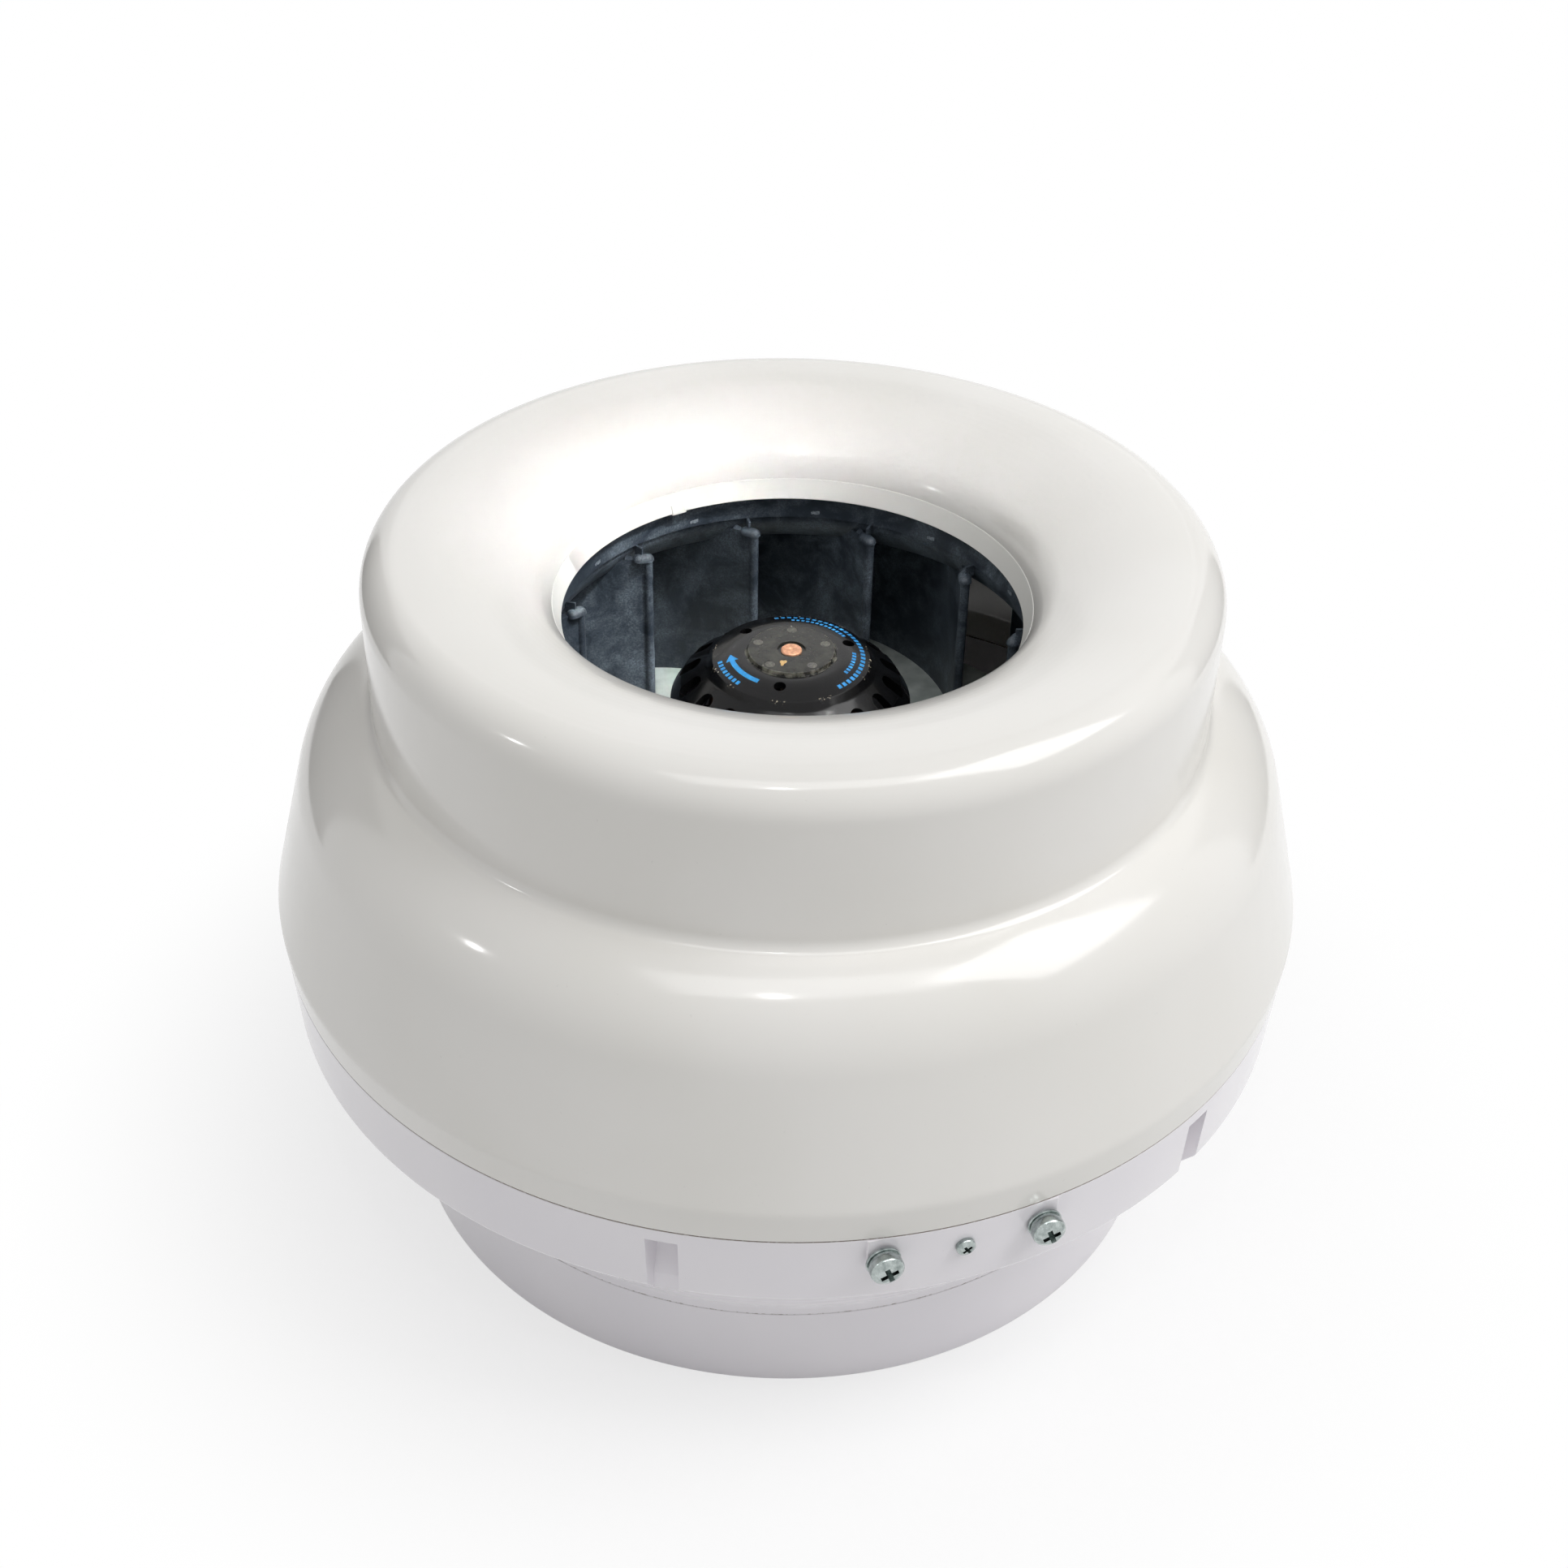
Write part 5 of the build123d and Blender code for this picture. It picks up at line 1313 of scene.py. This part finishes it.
shaft_low, shaft_top = (corner[2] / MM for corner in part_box("rotor_shaft"))
shaft = [(0, shaft_low), (SHAFT_R, shaft_low), (SHAFT_R, shaft_top - 0.4),
         (SHAFT_R - 0.4, shaft_top), (1.0, shaft_top), (0, shaft_top - 0.7)]
finish_piece("motor_shaft", lathe_mesh("shaft", shaft, 64), SHAFT, "rotor", ["rotor_shaft"])

# %% [markdown]
# ## Screws
# Two M6 pan-head screws with spring and plain washers wait for the wall bracket, and a
# small screw between them locks the shells. A head is turned, and the cross recess is
# cut by a tapered cross, like the punch that forms the real one.

# %% Screw head
RECESS_ARM = 0.078         # half the width of the recess's arms over the head's diameter
RECESS_TAPER = 0.7         # how much narrower its floor is
RECESS_FLOOR = 0.1         # height of its floor over the head's


def pan_head(diameter, height):
    """Pan head that stands on Z = 0, with a tapered cross recess."""
    r = diameter / 2
    outline = rounded([(0, 0), (r, 0), (r, height * 0.62), (r * 0.55, height), (0, height)],
                      [0.2, height * 0.3, height * 0.3], 12)
    head = lathe_mesh("head", outline, 72)
    plus = [(1, 1), (1, 3.6), (-1, 3.6), (-1, 1), (-3.6, 1), (-3.6, -1), (-1, -1), (-1, -3.6),
            (1, -3.6), (1, -1), (3.6, -1), (3.6, 1)]
    arm = diameter * RECESS_ARM
    plus = [(x * arm, y * arm) for x, y in plus]
    cross = prism_mesh("cross", plus, height * RECESS_FLOOR, height + 0.5)
    for vertex in cross.vertices:
        if vertex.co.z < height * 0.5 * MM:
            vertex.co.x *= RECESS_TAPER
            vertex.co.y *= RECESS_TAPER
    return cut_ring(head, cross, 1, 0, ZINC)


BRACKET_HEAD = (12.0, 4.6)     # diameter and height
LOCK_HEAD = (7.0, 2.6)
bracket_head = pan_head(*BRACKET_HEAD)
print("one head with its recess:", len(bracket_head.polygons), "faces")

# %% [markdown]
# ### Shank and spring washer
# So little of the shank shows that its thread is drawn as plain rings instead of a
# helix. The spring washer is a flat bar wound once: its section runs round almost a full
# turn and climbs a little, so that the two ends stand apart.

# %% Shank and spring washer
THREAD_ROOT = 0.86             # radius between the rings over the shank's
CREST_END, ROOT_AT = 0.35, 0.75    # where a ring ends and the root lies, over the pitch
SPLIT = 12                     # degrees left open by the spring washer


def shank(radius, length, pitch=1.0):
    """Threaded shank below Z = 0, its thread drawn as plain rings."""
    root = radius * THREAD_ROOT
    outline = [(0, 0), (radius, 0)]
    for i in range(int(length / pitch)):
        outline += [(radius, -(i + CREST_END) * pitch), (root, -(i + ROOT_AT) * pitch)]
    outline += [(root, -length + 0.1), (0, -length + 0.1)]
    return lathe_mesh("shank", outline, 32)


def spring_washer(inner, outer, thickness, rise=0.5):
    """Split ring whose ends stand apart by a small rise."""
    verts, faces, steps = [], [], 60
    for i in range(steps + 1):
        a = radians(SPLIT + (360 - SPLIT) * i / steps)
        lift = rise * i / steps
        for r, z in ((inner, lift), (outer, lift), (outer, lift + thickness - rise),
                     (inner, lift + thickness - rise)):
            verts.append(Vector((r * cos(a), r * sin(a), z)) * MM)
    for i in range(steps):
        for k in range(4):
            a, b = 4 * i + k, 4 * i + (k + 1) % 4
            faces.append([a, b, b + 4, a + 4])
    faces += [[3, 2, 1, 0], [4 * steps + k for k in range(4)]]
    return plain_mesh("spring_washer", verts, faces)


SPRING_HOLE_R, SPRING_R, SPRING_T = 3.2, 5.5, 1.6
spring = spring_washer(SPRING_HOLE_R, SPRING_R, SPRING_T)
print("spring washer:", len(spring.polygons), "faces")

# %% [markdown]
# ### Bracket screws, washers and lock screw
# The bracket screws are left half driven, each with a plain washer and a split spring
# washer whose ends stand apart. The small lock screw is driven home. Heights are
# measured from the joint of the shells, the depth comes from the solid model. The row
# tree sets the pair.

# %% Screws in place
FACING_FRONT = Matrix.Rotation(radians(90), 4, "X")     # local +Z comes out along -Y
M6_R, M6_LENGTH, M6_TURN = 3.0, 16.4, 20       # the turn sets how the recess stands
LOCK_R, LOCK_LENGTH, LOCK_PITCH, LOCK_TURN = 1.55, 9.0, 0.7, 35
LOCK_Z = SEAM_Z - 10.9
WASHERS_T = 2.6            # of both washers together
PLAIN_R, PLAIN_T, PLAIN_BREAK = 6.2, 1.0, 0.15
head_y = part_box("bracket_screws")[0][1] / MM + BRACKET_HEAD[1]


def on_both_pads(mesh, y):
    """Sets a mesh that faces the front on both pads."""
    return run_tree(ROW, mesh, count=2, first=(-PAD_X * MM, y * MM, PAD_Z * MM),
                    step=(2 * PAD_X * MM, 0, 0), material=ZINC)


bracket = joined("bracket", bracket_head, shank(M6_R, M6_LENGTH))
bracket.transform(FACING_FRONT @ Matrix.Rotation(radians(M6_TURN), 4, "Z"))
finish_piece("bracket_m6_screws", on_both_pads(bracket, head_y), ZINC, "casing",
             ["bracket_screws"], 35)
edge_r = PLAIN_R - PLAIN_BREAK
plain = [(SPRING_HOLE_R, 0), (edge_r, 0), (PLAIN_R, PLAIN_BREAK),
         (PLAIN_R, PLAIN_T - PLAIN_BREAK), (edge_r, PLAIN_T), (SPRING_HOLE_R, PLAIN_T)]
spring.transform(Matrix.Translation((0, 0, PLAIN_T * MM)))
washers = joined("washers", lathe_mesh("plain", plain, 72), spring)
washers.transform(FACING_FRONT)
finish_piece("bracket_washer_stacks", on_both_pads(washers, head_y + WASHERS_T), ZINC,
             "casing", ["bracket_washers"], 35)
lock = joined("lock", pan_head(*LOCK_HEAD), shank(LOCK_R, LOCK_LENGTH, LOCK_PITCH))
lock_at = (0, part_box("shell_lock_screw")[0][1] + LOCK_HEAD[1] * MM, LOCK_Z * MM)
lock.transform(Matrix.Translation(lock_at) @ FACING_FRONT
               @ Matrix.Rotation(radians(LOCK_TURN), 4, "Z"))
finish_piece("shell_lock_screw_piece", lock, ZINC, "casing", ["shell_lock_screw"],
             35)

# %% [markdown]
# ## Materials of the solid model's own parts
# Parts that hardly show, such as the guide vanes, the motor's inside, the terminal box
# and its gland, come straight from the solid model. Their forms are plain in reality too,
# so modelling them again would change nothing that the eye sees. They only need their
# finish: white moulded ABS for vanes and box, black nylon for the gland and the block,
# dark rubber for the seals, and the metals above.

# %% Materials of the solid model's own parts
PAINTS = {
    "casing_plastic": CASING_CLEAN, "nozzle_plastic": NOZZLE, "die_cast": CAST,
    "bearing_steel": BEARING, "lamination": SHEETS, "winding_copper": COPPER,
    "black_paint": PAINT, "shaft_steel": SHAFT, "galvanised_steel": GALVANISED_PAINTED_LIGHTER,
    "impeller_plastic": IMPELLER, "zinc_screw": ZINC, "box_plastic": CASING_CLEAN,
    "seal_rubber": RUBBER, "dark_plastic": BLACK, "grey_nylon": GREY,
}
slots = {part["node"]: part["material_slot"] for part in frame["record"]["subparts"]}
for node, solid in frame["nodes"].items():
    solid.data.materials.clear()
    solid.data.materials.append(PAINTS[slots[node]])
print("painted", len(slots), "parts")

# %% [markdown]
# ## Floor and light
# The fan stands on a plain white board. Close to the fan a third of the board's own shade
# is kept, so that the soft shadow stays; farther out it turns to pure white. Rays that only
# carry light to the fan meet a slightly grey board, which keeps the upright faces of the
# casing darker than its top. A shadow catcher would need a second picture to lie on. The
# mix by Light Path does the same in one.

# %% Floor
def background_rays(tree):
    """1 for rays that see the background: from the camera, by gloss or through glass."""
    rays = add(tree, "ShaderNodeLightPath")
    seen = add(tree, "ShaderNodeMath", {"operation": "MAXIMUM"}, i0=rays.outputs["Is Camera Ray"],
               i1=rays.outputs["Is Glossy Ray"])
    return add(tree, "ShaderNodeMath", {"operation": "MAXIMUM"}, i0=seen.outputs[0],
               i1=rays.outputs["Is Transmission Ray"]).outputs[0]


GLOW_FROM, GLOW_TO = 0.15, 0.34    # metres from the axis
GLOW_LEAST = 0.64


def studio_floor():
    """Matt white board that fades into its own white glow away from the fan."""
    material, tree, shader, where = new_material("painted_board_white")
    seen = background_rays(tree)
    board = mix(tree, seen, linear("#F0F0F0"), linear("#FAFAFA"))
    tree.links.new(board, shader.inputs["Base Color"])
    shader.inputs["Roughness"].default_value = 0.9
    shader.inputs["Specular IOR Level"].default_value = 0.1
    glow = add(tree, "ShaderNodeEmission", Color=linear("#FFFFFF"), Strength=1.0)
    flat = add(tree, "ShaderNodeMapping", Vector=where, Scale=(1, 1, 0))
    reach = add(tree, "ShaderNodeVectorMath", {"operation": "LENGTH"}, i0=flat.outputs[0])
    fade = add(tree, "ShaderNodeMapRange", {"interpolation_type": "SMOOTHSTEP"},
               Value=reach.outputs["Value"], From_Min=GLOW_FROM, From_Max=GLOW_TO,
               To_Min=GLOW_LEAST, To_Max=1.0)
    share = add(tree, "ShaderNodeMath", {"operation": "MULTIPLY"}, i0=fade.outputs[0], i1=seen)
    blend = add(tree, "ShaderNodeMixShader", i0=share.outputs[0], i1=shader.outputs[0],
                i2=glow.outputs[0])
    tree.links.new(blend.outputs[0], tree.nodes["Material Output"].inputs[0])
    return material


def staged(name, corners, material):
    """One flat face of the stage, which is no part of the fan."""
    mesh = bpy.data.meshes.new(name)
    mesh.from_pydata(corners, [], [(0, 1, 2, 3)])
    mesh.materials.append(material)
    sheet = bpy.data.objects.new(name, mesh)
    bpy.context.scene.collection.objects.link(sheet)
    return sheet


def corners_of(width, height):
    w, h = width / 2, height / 2
    return [(-w, -h, 0), (w, -h, 0), (w, h, 0), (-w, h, 0)]


staged("floor", corners_of(10, 10), studio_floor())
print("floor keeps its shadow within", GLOW_TO, "m of the axis")

# %% [markdown]
# ### Lamps and cards
# Soft area lamps suit glossy white plastic: their size sets how wide the sheen runs over
# dome and rim. The high softbox on the right is the key, one overhead draws the sheen on
# dome and bellmouth, and a low one behind lights the back. Two bare bulbs leave the small
# sparks that a glossy moulding shows. The gridded lamp over the inlet only reaches the
# inside of the throat. Two dark cards stand left and right behind the fan, as is usual
# for white things on white: their reflection draws a fine grey edge along the outline.

# %% Lamps and cards
AIM = (0, 0, 0.2)          # on the axis inside the inlet; most lamps point there


def softbox(name, place, size, power, aim=AIM, shape="RECTANGLE", spread=180):
    """Area lamp; lengths in metres, power in watts, spread in degrees."""
    data = bpy.data.lights.new(name, "AREA")
    data.shape, data.spread = shape, radians(spread)
    data.size, data.size_y = size
    data.energy = power
    lamp = bpy.data.objects.new(name, data)
    lamp.location = place
    lamp.rotation_euler = (Vector(aim) - Vector(place)).to_track_quat("-Z", "Y").to_euler()
    bpy.context.scene.collection.objects.link(lamp)


def flag(name, place, size):
    """Upright dark card that faces the fan and shows in its gloss only."""
    card = staged(name, corners_of(*size), BLACK)
    inwards = Vector((-place[0], -place[1], 0))
    card.data.transform(inwards.to_track_quat("Z", "Y").to_matrix().to_4x4())
    card.data.transform(Matrix.Translation(place))
    card.visible_camera = card.visible_diffuse = card.visible_shadow = False
    card.visible_transmission = False


BULB = (0.08, 0.08)        # size of the small lamps
FLAG_SIZE, FLAG_Z = (0.5, 0.9), 0.3
FLAGS_MIDDLE = (0.16, 0.46)    # between the two cards, behind the fan
FLAGS_APART = (0.7, -0.23)     # from there to the right one, and back to the left one
softbox("lamp_key", (1.10, -0.62, 1.75), (1.1, 1.1), 19)
softbox("lamp_overhead", (-0.1, -0.62, 1.9), (1.5, 0.6), 6)
softbox("lamp_inlet", (0.62, -0.42, 1.6), BULB, 0.062, (-0.04, 0.055, 0.19), spread=6)
softbox("lamp_behind", (0.5, 1.7, 1.1), (1.6, 0.8), 1.6)
softbox("bulb_left", (-1.35, -0.05, 0.9), BULB, 0.7, shape="DISK")
softbox("bulb_front", (-0.28, -0.72, 1.6), BULB, 0.7, shape="DISK")
for side, sign in (("left", -1), ("right", 1)):
    x, y = (middle + sign * apart for middle, apart in zip(FLAGS_MIDDLE, FLAGS_APART))
    flag("flag_" + side, (x, y, FLAG_Z), FLAG_SIZE)

# %% [markdown]
# ### Room
# The room fills the shadows. It is dim for the light it gives and white where it is only
# seen, so the background is pure white and polished screws mirror a bright room. The
# Standard view shows colours as they are written.

# %% Room
FILL = 0.33                # strength of the light that the room gives
world = bpy.data.worlds.new("room")
world.use_nodes = True
bpy.context.scene.world = world
tree = world.node_tree
tree.nodes.clear()
dim = add(tree, "ShaderNodeBackground", Color=linear("#FFFFFF"), Strength=FILL)
white = add(tree, "ShaderNodeBackground", Color=linear("#FFFFFF"), Strength=1.0)
both = add(tree, "ShaderNodeMixShader", i0=background_rays(tree), i1=dim.outputs[0],
           i2=white.outputs[0])
add(tree, "ShaderNodeOutputWorld", Surface=both.outputs[0])
bpy.context.scene.view_settings.view_transform = "Standard"
print("view:", bpy.context.scene.view_settings.view_transform)
